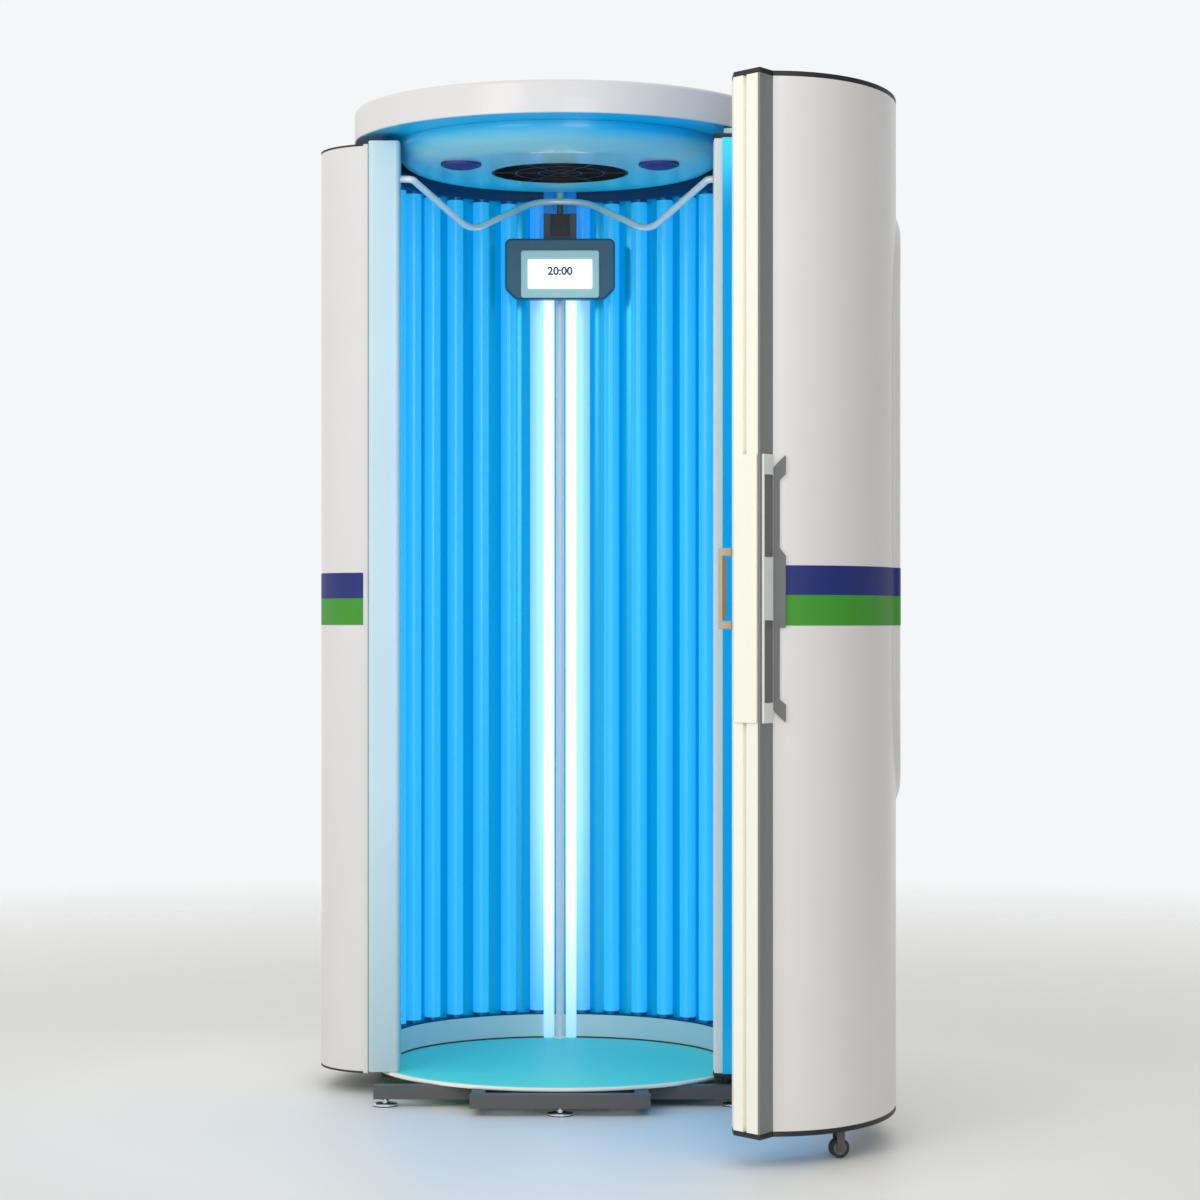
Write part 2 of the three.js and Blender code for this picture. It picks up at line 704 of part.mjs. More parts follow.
// Pole, light strips, hand rail and control screen at the back of the cabin
function buildFittings() {
  // Highest that a piece can stand under the ceiling's curved rim, at a radius
  const underCeiling = (r) => ceilingZ - fit
    + bowlRise * (1 - Math.sqrt(1 - ((r - bowlFlat) / bowlWidth) ** 2));
  put('centre_pole', rod(0, poleY, poleRadius, onFloor, underCeiling(poleY - poleRadius), 20),
    finishes.chrome);
  const stripBack = Math.sqrt(skirtRadius ** 2 - (stripX + stripWidth / 2) ** 2) - fit;
  for (const [name, side] of [['light_strip_left', -1], ['light_strip_right', 1]]) {
    const x = side * stripX;
    const w = stripWidth / 2;
    const stripFront = stripBack - stripDepth;
    put(name, slab(x - w, x + w, stripFront, stripBack, onFloor, underCeiling(stripFront)), finishes.glow);
  }

  const endX = postInnerX - fit;
  const endY = (postFrontY + postBackY) / 2;
  const endZ = ceilingZ - railEndDrop;
  const half = [
    new THREE.Vector3(endX, endY, endZ), new THREE.Vector3(endX - railStub, endY, endZ),
    new THREE.Vector3(kneeX, kneeY, ceilingZ - kneeDrop), new THREE.Vector3(apexX, apexY, apexZ),
  ];
  const mirrored = half.map((p) => new THREE.Vector3(-p.x, p.y, p.z));
  const section = new THREE.Shape(arc(0, 0, railRadius, 0, 315, 7));
  put('hand_rail', new THREE.ExtrudeGeometry(section, {
    steps: 40, bevelEnabled: false, extrudePath: bentPath([...mirrored, ...half.reverse()], railBend),
  }), finishes.chrome);

  const bracketBack = poleY - poleRadius - fit;
  const bracketFront = bracketBack - bracketDepth;
  const railLow = apexZ - railRadius - fit;
  const bracketTop = railLow - saddleHeight;
  const screenTop = screenZ + screenHeight / 2;
  put('screen_bracket', cut(
    join(slab(-bracketWidth / 2, bracketWidth / 2, bracketFront, bracketBack, screenZ - bracketReach,
      bracketTop),
      rod(0, apexY + channelDepth / 2, railRadius, bracketTop - lap, railLow, 12)),
    slab(-channelWidth / 2, channelWidth / 2, bracketFront - channelDepth, bracketFront + channelDepth,
      screenTop + channelDepth, bracketTop + channelDepth),
  ), finishes.grey);
  const housingFront = bracketFront - fit - screenDepth;
  put('screen_housing', panelXZ(screenWidth, screenHeight, screenRound, housingFront, screenDepth, screenZ,
    screenChamfer), finishes.screen);
  const bezelFront = housingFront - fit - bezelThick;
  const bezelZ = screenZ - bezelDrop;
  put('screen_bezel', panelXZ(bezelWidth, bezelHeight, screenRound / 2, bezelFront, bezelThick, bezelZ),
    finishes.bezel);
  const displayFront = bezelFront - fit - displayThick;
  put('screen_display', panelXZ(displayWidth, displayHeight, displayRound, displayFront, displayThick,
    bezelZ), finishes.display);
}

// Pivot brackets: the lower one on the front cross rail, the upper one on the right post
function buildHinges() {
  const left = pivotX - hingePlateHalf;
  const right = pivotX + hingePlateHalf;
  const front = pivotY - hingePlateHalf;
  const railBack = crossFrontY + beam / 2 + fit;
  put('hinge_bracket_lower', join(
    slab(left, right, railBack, pivotY + hingePlateHalf, footHeight, beamTop),
    rod(pivotX, pivotY, shoulderRadius, beamTop - lap, doorLow - fit),
    rod(pivotX, pivotY, pinRadius, beamTop - lap, doorLow + pinLength),
  ), finishes.black);
  const plateLow = postTop + fit;
  put('hinge_bracket_upper', join(
    slab(left, right, front, postBackY, plateLow, plateLow + hingePlate),
    rod(pivotX, pivotY, shoulderRadius, doorTop + fit, plateLow + lap),
    rod(pivotX, pivotY, pinRadius, doorTop - pinLength, plateLow + lap),
  ), finishes.grey);
}

// Corner points of a door edge, on the left: where the panel ends, the nose, and the back corner
function edgeCorners(out, back) {
  return {
    panel: point(-doorHalf, panelY),
    nose: point(-doorHalf - out, panelY + back),
    heel: point(-doorHalf + edgeInset, doorBackY),
  };
}

function buildDoor() {
  const innerX = doorHalf - doorDepth;
  const free = edgeCorners(noseOut, noseBack);
  const hinge = edgeCorners(hingeNose, hingeNoseBack);
  const bodyLow = doorLow + capThick + fit;
  const bodyTop = doorTop - capThick - fit;

  const panelBand = (outer, inner, from, to, steps) =>
    [...doorArc(outer, from, to, steps), ...doorArc(inner, to, from, steps)];
  hang('door_panel', prism(panelBand(0, doorWall, 180, 360, 44), bodyLow, bodyTop), finishes.white);
  // Raised panel: bands of the door's curve inside two rounded outlines, one step on the other
  const raisedReach = THREE.MathUtils.radToDeg(Math.asin(raisedHalf / doorHalf)) + 1;
  const raised = (lift, inset) => {
    const outline = panelXZ((raisedHalf - inset) * 2, raisedTop - raisedLow - inset * 2, raisedRound - inset,
      panelY - doorBulge * 2, doorBulge * 2, (raisedLow + raisedTop) / 2);
    const band = panelBand(-lift, -fit, 270 - raisedReach, 270 + raisedReach, 14);
    return solid(outline).intersect(solid(prism(band, raisedLow - lap, raisedTop + lap)));
  };
  const raisedPanel = raised(raisedStep, 0).add(raised(raisedStep * 2, raisedInset));
  hang('door_raised_panel', surface(raisedPanel), finishes.white);

  const holderMid = doorDepth + doorLampInset;
  const holderIn = holderMid + doorHolderWide;
  const capOutline = [
    free.heel, free.nose, free.panel, ...doorArc(0, 180, 360, 44).slice(1),
    ...flip([hinge.nose, hinge.heel]), point(innerX, doorBackY), point(innerX, panelY),
    ...doorArc(holderIn, 360, 180, 36), point(-innerX, panelY), point(-innerX, doorBackY),
  ];
  const pinHole = arc(pivotX, pivotY, pinRadius + fit, 0, 342, 19);
  hang('door_bottom_cap', prism(capOutline, doorLow, doorLow + capThick, pinHole), finishes.black);
  hang('door_top_cap', prism(capOutline, doorTop - capThick, doorTop, pinHole), finishes.black);

  const innerCurve = (inset) =>
    new THREE.EllipseCurve(0, panelY, doorHalf - inset, doorBulge - inset, Math.PI, 2 * Math.PI);
  const folds = (inset) => {
    const trough = innerCurve(doorDepth + inset);
    const ridge = innerCurve(doorDepth + inset + doorRidge);
    const points = [];
    for (let i = 0; i < doorLamps; i++) {
      points.push(ridge.getPointAt(i / doorLamps));
      points.push(trough.getPointAt((i + 0.25) / doorLamps), trough.getPointAt((i + 0.75) / doorLamps));
    }
    const sideX = innerX - inset - doorRidge;
    const sideY = doorBackY - returnGap;
    return [point(-sideX, sideY), ...points, ridge.getPointAt(1), point(sideX, sideY)];
  };
  hang('door_reflector', prism([...folds(0), ...folds(sheet).reverse()], bodyLow, bodyTop),
    finishes.reflector);

  const lampLine = innerCurve(holderMid);
  const stripHalf = doorHolderWide - fit;
  const band = panelBand(holderMid - stripHalf, holderMid + stripHalf, 180, 360, 28);
  const bank = [prism(band, bodyLow, holderTop), prism(band, holderLow, bodyTop)];
  for (let i = 0; i < doorLamps; i++) {
    const at = lampLine.getPointAt((i + 0.5) / doorLamps);
    bank.push(lampAt(at.x, at.y, holderTop - lampSeat, holderLow + lampSeat));
  }
  hang('door_lamp_bank', join(...bank), finishes.lamp);

  // Free edge: a hollow profile whose slanted face carries two ribs with a groove between them
  const along = free.nose.clone().sub(free.heel).normalize();
  const inward = point(-along.y, along.x);
  const onFace = (distance, depth) =>
    free.heel.clone().addScaledVector(along, distance).addScaledVector(inward, depth);
  const grooveEnd = ribGrooveAt + ribGroove;
  const faceLength = free.nose.distanceTo(free.heel);
  const side = free.nose.clone().sub(free.panel).normalize();
  const sideIn = point(side.y, -side.x);
  const edgeOutline = [
    onFace(0, 0), onFace(ribGrooveAt, 0), onFace(ribGrooveAt, ribDepth), onFace(grooveEnd, ribDepth),
    onFace(grooveEnd, 0), onFace(faceLength - edgeStrip * 1.3, 0),
    free.panel.clone().addScaledVector(sideIn, edgeStrip + fit),
    point(doorWall + fit * 2 - doorHalf, panelY + fit), point(-innerX, panelY + fit),
    point(-innerX, doorBackY),
  ];
  const holeOuter = edgeWall + edgeInset - doorHalf;
  const holeInner = -innerX - edgeWall;
  const edgeHole = [
    point(holeOuter, panelY + edgeWall), point(holeInner, panelY + edgeWall),
    point(holeInner, doorBackY - edgeWall), point(holeOuter, doorBackY - edgeWall * 2),
  ];
  hang('door_free_edge', prism(edgeOutline, bodyLow, bodyTop, edgeHole), finishes.cream);
  const hingeOutline = flip([
    hinge.heel, hinge.nose, hinge.panel.clone().add(point(0, fit)), point(-innerX, panelY + fit),
    point(-innerX, doorBackY),
  ]);
  hang('door_hinge_edge', prism(hingeOutline, bodyLow, bodyTop, flip(edgeHole)), finishes.cream);
  const stripOutline = [
    free.panel.clone().addScaledVector(side, fit), free.nose,
    free.nose.clone().addScaledVector(sideIn, edgeStrip),
    free.panel.clone().addScaledVector(sideIn, edgeStrip),
  ];
  hang('door_edge_strip', prism(stripOutline, bodyLow, bodyTop), finishes.edgeGrey);

  // Handle: a plate on the ribs, a rail with two finger windows on the strip, a guard on the panel
  const plateFrom = (faceLength - handlePlateWidth) / 2;
  const plateTo = plateFrom + handlePlateWidth;
  hang('handle_plate', prism([
    onFace(plateFrom, -fit), onFace(plateTo, -fit), onFace(plateTo, -handlePlate),
    onFace(plateFrom, -handlePlate),
  ], handleLow, handleTop), finishes.cream);
  const onSide = (distance, depth) =>
    free.panel.clone().addScaledVector(side, distance).addScaledVector(sideIn, -depth);
  const stripLength = free.nose.distanceTo(free.panel);
  const railFrom = (stripLength - handleRailWidth) / 2;
  const railTo = railFrom + handleRailWidth;
  const windowFrom = (stripLength - windowWidth) / 2;
  const windowTo = windowFrom + windowWidth;
  const windows = [handleLow + windowInset, handleTop - windowInset - windowHeight];
  const railWindow = (low) => prism([
    onSide(windowFrom, -lap), onSide(windowTo, -lap), onSide(windowTo, handlePlate * 2),
    onSide(windowFrom, handlePlate * 2),
  ], low, low + windowHeight);
  hang('handle_rail', cut(prism([
    onSide(railFrom, fit), onSide(railTo, fit), onSide(railTo, handlePlate), onSide(railFrom, handlePlate),
  ], handleLow, handleTop), ...windows.map(railWindow)), finishes.silver);
  const guardX = -doorHalf - fit;
  const guard = slab(guardX - guardThick, guardX, panelY - guardWidth, panelY, handleLow, handleTop);
  hang('handle_guard', cut(guard, ...windows.map((low) => slab(guardX - guardThick * 2, guardX + guardThick,
    panelY - guardWidth * 2, panelY - guardStep, low, low + windowHeight))), finishes.edgeGrey);

  const pullX = -innerX + innerPullWide / 2;
  const pullBack = doorBackY + fit;
  const gripGap = innerPullBar * 2;
  hang('inner_pull', cut(
    slab(pullX - innerPullWide, pullX, pullBack, pullBack + innerPullReach, innerPullLow, innerPullTop),
    slab(pullX - innerPullWide * 2, pullX + innerPullWide, pullBack - innerPullBar,
      pullBack + innerPullReach - innerPullBar, innerPullLow + gripGap, innerPullTop - gripGap),
  ), finishes.beige);

  buildRoller();
}

// Roller under the door, with its axle pointing at the pivot so that it rolls along the swing
function buildRoller() {
  const at = doorArc(doorDepth / 2, rollerParam, rollerParam, 1)[0];
  const turn = Math.atan2(at.y - pivotY, at.x - pivotX);
  const aim = (geometry) => geometry.rotateZ(turn).translate(at.x, at.y, 0);
  const half = rollerWidth / 2 + fit;
  const top = doorLow - fit;
  const cheekHalf = axleRadius * 2;
  const cheek = (x) => slab(x, x + forkWall, -cheekHalf, cheekHalf, rollerHeight - cheekHalf, top - lap);
  const axle = (radius, length) =>
    new THREE.CylinderGeometry(radius, radius, length, 20).rotateZ(Math.PI / 2).translate(0, 0, rollerHeight);
  hang('roller_fork', aim(join(
    cheek(half), cheek(-half - forkWall), axle(axleRadius, (half + forkWall + axleEnd) * 2),
    slab(-half - forkWall, half + forkWall, -axleRadius * 3, axleRadius * 3, top - forkWall, top),
  )), finishes.darkSteel);
  const tread = new THREE.CylinderGeometry(rollerRadius, rollerRadius, rollerWidth, 28);
  const wheel = tread.rotateZ(Math.PI / 2).translate(0, 0, rollerHeight);
  const bore = axle(axleRadius + fit, rollerWidth * 2);
  hang('door_roller', aim(cut(wheel, bore)), finishes.rubber);
}

buildBase();
buildShell();
buildLamps();
buildTop();
buildFittings();
buildHinges();
buildDoor();

// Origin in the middle of the footprint, on the floor
const box = new THREE.Box3().setFromObject(booth, true);
booth.position.set(-(box.min.x + box.max.x) / 2, -(box.min.y + box.max.y) / 2, -box.min.z);
booth.updateMatrixWorld(true);

export default booth;
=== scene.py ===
import bmesh
import bpy
import json
import math
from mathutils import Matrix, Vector


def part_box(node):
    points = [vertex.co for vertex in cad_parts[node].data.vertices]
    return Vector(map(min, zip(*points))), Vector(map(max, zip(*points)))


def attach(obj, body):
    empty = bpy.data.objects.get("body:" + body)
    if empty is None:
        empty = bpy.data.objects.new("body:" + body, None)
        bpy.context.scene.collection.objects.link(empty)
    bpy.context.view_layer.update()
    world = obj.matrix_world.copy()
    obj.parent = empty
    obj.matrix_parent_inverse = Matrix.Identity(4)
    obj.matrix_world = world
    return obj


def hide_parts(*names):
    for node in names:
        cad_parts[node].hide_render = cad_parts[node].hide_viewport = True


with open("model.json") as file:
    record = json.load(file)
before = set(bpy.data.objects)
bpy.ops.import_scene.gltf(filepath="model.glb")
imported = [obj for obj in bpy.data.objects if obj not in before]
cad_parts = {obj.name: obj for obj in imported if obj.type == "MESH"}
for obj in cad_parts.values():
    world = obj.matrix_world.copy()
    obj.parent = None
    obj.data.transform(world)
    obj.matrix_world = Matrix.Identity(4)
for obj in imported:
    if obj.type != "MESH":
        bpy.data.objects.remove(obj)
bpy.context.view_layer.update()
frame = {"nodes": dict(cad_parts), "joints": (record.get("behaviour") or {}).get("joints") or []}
nodes = frame["nodes"]
print("frame loaded:", len(nodes), "nodes")

# Where the cabin and the door are, read from the frame
canopyLow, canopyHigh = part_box("canopy")
axis = (canopyLow + canopyHigh) / 2  # the cabin's middle, x and y only
cabinMiddle = (axis.x, axis.y)
panelLow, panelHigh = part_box("door_panel")
doorStart = panelLow.x  # plane where the curved panel begins
doorMid = (panelLow.y + panelHigh.y) / 2
doorBulge = panelHigh.x - panelLow.x
doorHalf = (panelHigh.y - panelLow.y) / 2
mm = 0.001


def linear(hexColour, alpha=1.0):
    parts = [int(hexColour[i:i + 2], 16) / 255 for i in (1, 3, 5)]
    curve = [c / 12.92 if c <= 0.04045 else ((c + 0.055) / 1.055) ** 2.4 for c in parts]
    return (*curve, alpha)


def addNode(tree, kind, settings=None, links=None):
    node = tree.nodes.new(kind)
    for name, value in (settings or {}).items():
        if name in node.inputs:
            node.inputs[name].default_value = value
        else:
            setattr(node, name, value)
    for name, source in (links or {}).items():
        tree.links.new(source, node.inputs[name])
    return node


# One entry per real material: its colour and a second tone that drifts through it, its gloss, and the
# pattern its making leaves, with the pattern's size in millimetres and its stretch along x, y and z.
# A fade turns the colour towards another along a direction, between two places in metres; where a comment says
# so, a colour or fade is painted light or shade.
finishes = {
    # powder coat on sheet steel: even, warm white with a faint orange peel, drawn coarse enough to show
    "powderCoatWhite": dict(base="#DEDAD8", drift="#D9D5D3", rough=0.34, ior=1.5, coat=0.25, grain=7,
                            peel=0.00012),
    # satin lacquer on extruded posts: cooler than the covers, with the lamps' blue light painted in, and
    # painted shade greying it towards the floor
    "postLacquerPaintedLight": dict(base="#C8E2E8", drift="#BED9E0", rough=0.38, ior=1.5, coat=0.15, grain=9,
                             peel=0.0001, fades=[((0, 0, -1), -0.7, 0.0, "#AFC6CC")]),
    # extruded PVC: cream, with faint die lines along its length
    "extrudedCreamPvc": dict(base="#F7F3E4", drift="#F0ECDB", rough=0.42, ior=1.53, grain=4,
                             stretch=(1, 1, 0.02), peel=0.0001),
    # the same PVC in mid grey
    "extrudedGreyPvc": dict(base="#7C7E7D", drift="#747675", rough=0.46, ior=1.53, grain=4,
                            stretch=(1, 1, 0.02), peel=0.0001),
    # moulded ABS: darker grey with a fine spark-eroded grain
    "mouldedGuardGrey": dict(base="#666867", drift="#5F6160", rough=0.46, ior=1.53, grain=2, peel=0.0001),
    # brushed-on paint over welded box section: dark, slightly uneven gloss
    "paintedSteelDark": dict(base="#585655", drift="#4D4B4A", rough=0.5, ior=1.5, grain=14, peel=0.0002),
    # powder coat in black: even, low gloss
    "powderCoatBlack": dict(base="#161617", drift="#1E1E20", rough=0.5, ior=1.5, grain=6, peel=0.00015),
    # moulded ABS in black: soft highlight, fine grain
    "mouldedBlack": dict(base="#101113", drift="#18191B", rough=0.42, ior=1.53, grain=2, peel=0.0001),
    # brushed and lacquered aluminium strip: pale grey, lines running round the floor
    "brushedAluminiumGrey": dict(base="#D3E2E0", drift="#C6D6D6", rough=0.4, metal=0.15, grain=3,
                                 stretch=(0.05, 0.05, 1), peel=0.00006),
    # anodised aluminium: light silver, drawn lines along the rail
    "anodisedAluminium": dict(base="#EAEAE8", drift="#E0E1DF", rough=0.36, metal=0.12, grain=3,
                              stretch=(1, 1, 0.03), peel=0.00006),
    # polished chrome plate: a mirror, broken only by slow waves
    "polishedChrome": dict(base="#E9EBED", drift="#DDE1E4", rough=0.07, metal=1.0, grain=30, peel=0.00001),
    # bead-blasted chrome on the bent tube: silver with a broad soft highlight
    "satinChromeTube": dict(base="#FFFAF0", drift="#F6F1E8", rough=0.24, metal=0.2, grain=3, peel=0.00003),
    # drawn steel tube: pale, with lines along its length
    "drawnSteelTube": dict(base="#FAEEDF", drift="#EFE4D6", rough=0.24, metal=0.1, grain=3,
                           stretch=(1, 1, 0.03), peel=0.00004),
    # thermoformed PETG ceiling: pale in the middle, with the lamps' blue light painted in towards its back and
    # rim
    "ceilingPaintedLampLight": dict(base="#A8D6D0", drift="#9ECFCB", rough=0.3, ior=1.57, coat=0.3, grain=60,
                                peel=0.00008, fades=[((0, 1, 0), 0.2, 0.6, "#14F8F4"),
                                                     ((0, 0, 1), 2.102, 2.146, "#06BEEE")]),
    # anodised reflector sheet: its deep blue and its glow are a painted reflection of the tubes it mirrors
    "reflectorPaintedGlow": dict(base="#06A8CC", drift="#059EC2", rough=0.22, metal=0.35, grain=20,
                               peel=0.00005, glow="#0096D6", power=0.36),
    # drawn glass tubes with a phosphor coat, lit: even sky blue
    "litLampGlass": dict(base="#36B0DC", drift="#30A8D6", rough=0.25, ior=1.52, grain=40,
                         glow="#30B8F2", power=0.5),
    # the tubes beside the pole: whiter phosphor, bluer at both ends
    "litLampWhite": dict(base="#A9DEFF", drift="#A0D8FC", rough=0.25, ior=1.52, grain=40,
                         glow="#A9DEFF", power=0.42,
                         fades=[((0, 0, 1), 1.9, 1.98, "#3AAFFB"), ((0, 0, -1), -0.6, -0.1, "#5CBCF8")]),
    # pressed aluminium end caps: painted blue for the lamps' light on them, with metal glints
    "lampCapPaintedBlue": dict(base="#2C7FB4", drift="#2876A8", rough=0.32, metal=0.7, grain=5, peel=0.00004),
    # moulded PBT holders: painted dark blue, standing in for the lamps' light and the shade under the ceiling
    "mouldedHolderPaintedShade": dict(base="#0B4A72", drift="#0A4166", rough=0.5, ior=1.55, grain=3, peel=0.0001),
    # extruded opal acrylic with light behind it: white, with painted dark-blue shade above the screen, and
    # bluer at its foot
    "opalDiffuserPaintedShade": dict(base="#F7FCFF", drift="#EEF8FF", rough=0.3, ior=1.49, grain=25,
                         glow="#EEF8FF", power=0.75,
                         fades=[((0, 0, 1), 1.9, 1.96, "#0B62A4"), ((0, 0, -1), -0.4, -0.06, "#9CC6F2")]),
    # cast acrylic sheet: cloudy aqua with a fine non-slip grain, drawn coarser than it is
    "castAcrylicTeal": dict(base="#5AE6D2", drift="#6CEBDA", rough=0.5, ior=1.49, grain=90, peel=0.0002),
    # moulded ABS case: dark teal, fine grain
    "mouldedScreenCase": dict(base="#176270", drift="#145868", rough=0.4, ior=1.53, grain=2, peel=0.0001),
    # moulded ABS bezel: pale teal, smoother
    "mouldedBezelTeal": dict(base="#C6E8DA", drift="#B6DDD2", rough=0.35, ior=1.53, grain=30, peel=0.00005),
    # glass over a lit panel: plain white
    "litDisplay": dict(base="#FFFFFF", drift="#F6F9FF", rough=0.15, ior=1.52, grain=60,
                       glow="#FDFEFF", power=0.9),
    # screen-printed ink: matt violet blue
    "printedInk": dict(base="#2A3170", drift="#232A63", rough=0.4, ior=1.5, grain=3),
    # woven speaker cloth: violet, threads drawn coarse enough to show
    "speakerClothViolet": dict(base="#34348A", drift="#26276C", rough=0.65, ior=1.5, grain=1.6,
                               peel=0.0006),
    # moulded ABS ring in the cloth's colour
    "mouldedViolet": dict(base="#31328A", drift="#2B2C7C", rough=0.45, ior=1.53, grain=3, peel=0.0001),
    # cast acrylic, smoked: dark grey and glossy
    "smokedAcrylic": dict(base="#646463", drift="#5B5B5A", rough=0.3, ior=1.49, coat=0.2, grain=30,
                          peel=0.00004),
    # brown, dull: painted shade in the inner pull's finger gap
    "paintedShadeBrown": dict(base="#7F6D52", drift="#76654B", rough=0.5, ior=1.52, grain=2, peel=0.0001),
    # moulded ABS pull: beige, soft highlight
    "mouldedBeige": dict(base="#B7A488", drift="#AD9A7E", rough=0.42, ior=1.53, grain=2, peel=0.0001),
    # moulded nylon hub: mid grey
    "mouldedHubGrey": dict(base="#6E7072", drift="#646668", rough=0.45, ior=1.53, grain=2, peel=0.0001),
    # vulcanised rubber: nearly black, dull
    "rubberTread": dict(base="#2A2A2B", drift="#343434", rough=0.82, ior=1.52, grain=2, peel=0.0002),
    # cut vinyl tape: flat deep colour
    "vinylBlue": dict(base="#0A1F70", drift="#091C66", rough=0.6, ior=1.53, grain=12, peel=0.00004),
    "vinylGreen": dict(base="#38941E", drift="#348A1B", rough=0.6, ior=1.53, grain=12, peel=0.00004),
    # galvanised steel trays: mottled grey
    "galvanisedSteel": dict(base="#A9AEB0", drift="#9BA1A4", rough=0.4, metal=0.8, grain=5, peel=0.00008),
}

# How a pattern is drawn: fine noise for gloss and relief, and clouds of it, so many times larger, for the tone
pattern = dict(detail=4.0, roughness=0.55, cloud=24, cloudDetail=2.0, glossSwing=0.14, relief=0.5)
# sockets of a colour Mix node: the two colours and the result
mixFrom, mixTo, mixResult = 6, 7, 2


def makeFinish(name):
    look = finishes[name]
    material = bpy.data.materials.new(name)
    material.use_nodes = True
    tree = material.node_tree
    shader = tree.nodes["Principled BSDF"]
    shader.inputs["Metallic"].default_value = look.get("metal", 0.0)
    if "ior" in look:  # a metal keeps the default
        shader.inputs["IOR"].default_value = look["ior"]
    shader.inputs["Coat Weight"].default_value = look.get("coat", 0.0)
    if "glow" in look:
        shader.inputs["Emission Color"].default_value = linear(look["glow"])
        shader.inputs["Emission Strength"].default_value = look["power"]
    place = addNode(tree, "ShaderNodeTexCoord")
    spread = addNode(tree, "ShaderNodeMapping", {"Scale": look.get("stretch", (1, 1, 1))},
                     {"Vector": place.outputs["Object"]})
    perMetre = 1 / (look["grain"] * mm)
    noise = addNode(tree, "ShaderNodeTexNoise", {
        "Scale": perMetre, "Detail": pattern["detail"], "Roughness": pattern["roughness"]},
        {"Vector": spread.outputs["Vector"]})
    cloud = addNode(tree, "ShaderNodeTexNoise", {
        "Scale": perMetre / pattern["cloud"], "Detail": pattern["cloudDetail"]},
        {"Vector": spread.outputs["Vector"]})
    tone = addNode(tree, "ShaderNodeMix", {"data_type": "RGBA"}, {"Factor": cloud.outputs["Fac"]})
    tone.inputs[mixFrom].default_value = linear(look["base"])
    tone.inputs[mixTo].default_value = linear(look["drift"])
    colour = tone.outputs[mixResult]
    for direction, low, high, towards in look.get("fades", []):
        along = addNode(tree, "ShaderNodeVectorMath", {"operation": "DOT_PRODUCT"},
                        {"Vector": place.outputs["Object"]})
        along.inputs[1].default_value = direction
        share = addNode(tree, "ShaderNodeMapRange", {"From Min": low, "From Max": high},
                        {"Value": along.outputs["Value"]})
        faded = addNode(tree, "ShaderNodeMix", {"data_type": "RGBA"}, {"Factor": share.outputs["Result"]})
        tree.links.new(colour, faded.inputs[mixFrom])
        faded.inputs[mixTo].default_value = linear(towards)
        colour = faded.outputs[mixResult]
    tree.links.new(colour, shader.inputs["Base Color"])
    if "glow" in look and "fades" in look:
        tree.links.new(colour, shader.inputs["Emission Color"])
    swing = look["rough"] * pattern["glossSwing"]
    gloss = addNode(tree, "ShaderNodeMapRange", {
        "To Min": look["rough"] - swing, "To Max": look["rough"] + swing}, {"Value": noise.outputs["Fac"]})
    tree.links.new(gloss.outputs["Result"], shader.inputs["Roughness"])
    if "peel" in look:
        bump = addNode(tree, "ShaderNodeBump", {"Strength": pattern["relief"], "Distance": look["peel"]},
                       {"Height": noise.outputs["Fac"]})
        tree.links.new(bump.outputs["Normal"], shader.inputs["Normal"])
    return material


materials = {name: makeFinish(name) for name in finishes}
print("materials:", len(materials))


def settle(obj, body, replaced=()):
    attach(obj, body)
    if replaced:
        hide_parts(*replaced)
    return obj


# Puts a bmesh in the scene as one piece; materials are given as a list and faces carry their index.
def piece(name, bm, finishNames, smooth=35, bevel=0.0, steps=2):
    mesh = bpy.data.meshes.new(name)
    bmesh.ops.recalc_face_normals(bm, faces=bm.faces)
    bm.to_mesh(mesh)
    bm.free()
    for finishName in finishNames:
        mesh.materials.append(materials[finishName])
    mesh.polygons.foreach_set("use_smooth", [True] * len(mesh.polygons))
    mesh.set_sharp_from_angle(angle=math.radians(smooth))
    obj = bpy.data.objects.new(name, mesh)
    bpy.context.scene.collection.objects.link(obj)
    if bevel:
        soften = obj.modifiers.new("softEdges", "BEVEL")
        soften.width = bevel
        soften.segments = steps
        soften.limit_method = "ANGLE"
        soften.angle_limit = math.radians(smooth)
        soften.harden_normals = True
    return obj


# What counts as one point, and as one flat in degrees, when a solid is dressed
merge = dict(gap=0.02 * mm, flat=0.6)


# A solid's own shape with its flats merged, so that its edges can be rounded and its curves shaded smooth;
# draw pulls it in towards the cabin's middle by a hair, where tape goes over it.
def dress(node, finishName, body, bevel=0.0, smooth=35, steps=2, draw=1.0):
    bm = bmesh.new()
    bm.from_mesh(nodes[node].data)
    for vert in bm.verts:
        vert.co.x = axis.x + (vert.co.x - axis.x) * draw
        vert.co.y = axis.y + (vert.co.y - axis.y) * draw
    bmesh.ops.remove_doubles(bm, verts=bm.verts, dist=merge["gap"])
    bmesh.ops.dissolve_limit(bm, angle_limit=math.radians(merge["flat"]), verts=bm.verts, edges=bm.edges)
    for face in bm.faces:
        face.material_index = 0
    obj = piece(node + "_skin", bm, [finishName], smooth, bevel, steps)
    return settle(obj, body, [node])


# Closed loops of (x, y) points raised between two heights and added to a bmesh.
def addPrism(bm, loop, low, high, index=0):
    lower = [bm.verts.new((x, y, low)) for x, y in loop]
    upper = [bm.verts.new((x, y, high)) for x, y in loop]
    faces = [bm.faces.new(lower[::-1]), bm.faces.new(upper)]
    for i in range(len(loop)):
        j = (i + 1) % len(loop)
        faces.append(bm.faces.new((lower[i], lower[j], upper[j], upper[i])))
    for face in faces:
        face.material_index = index


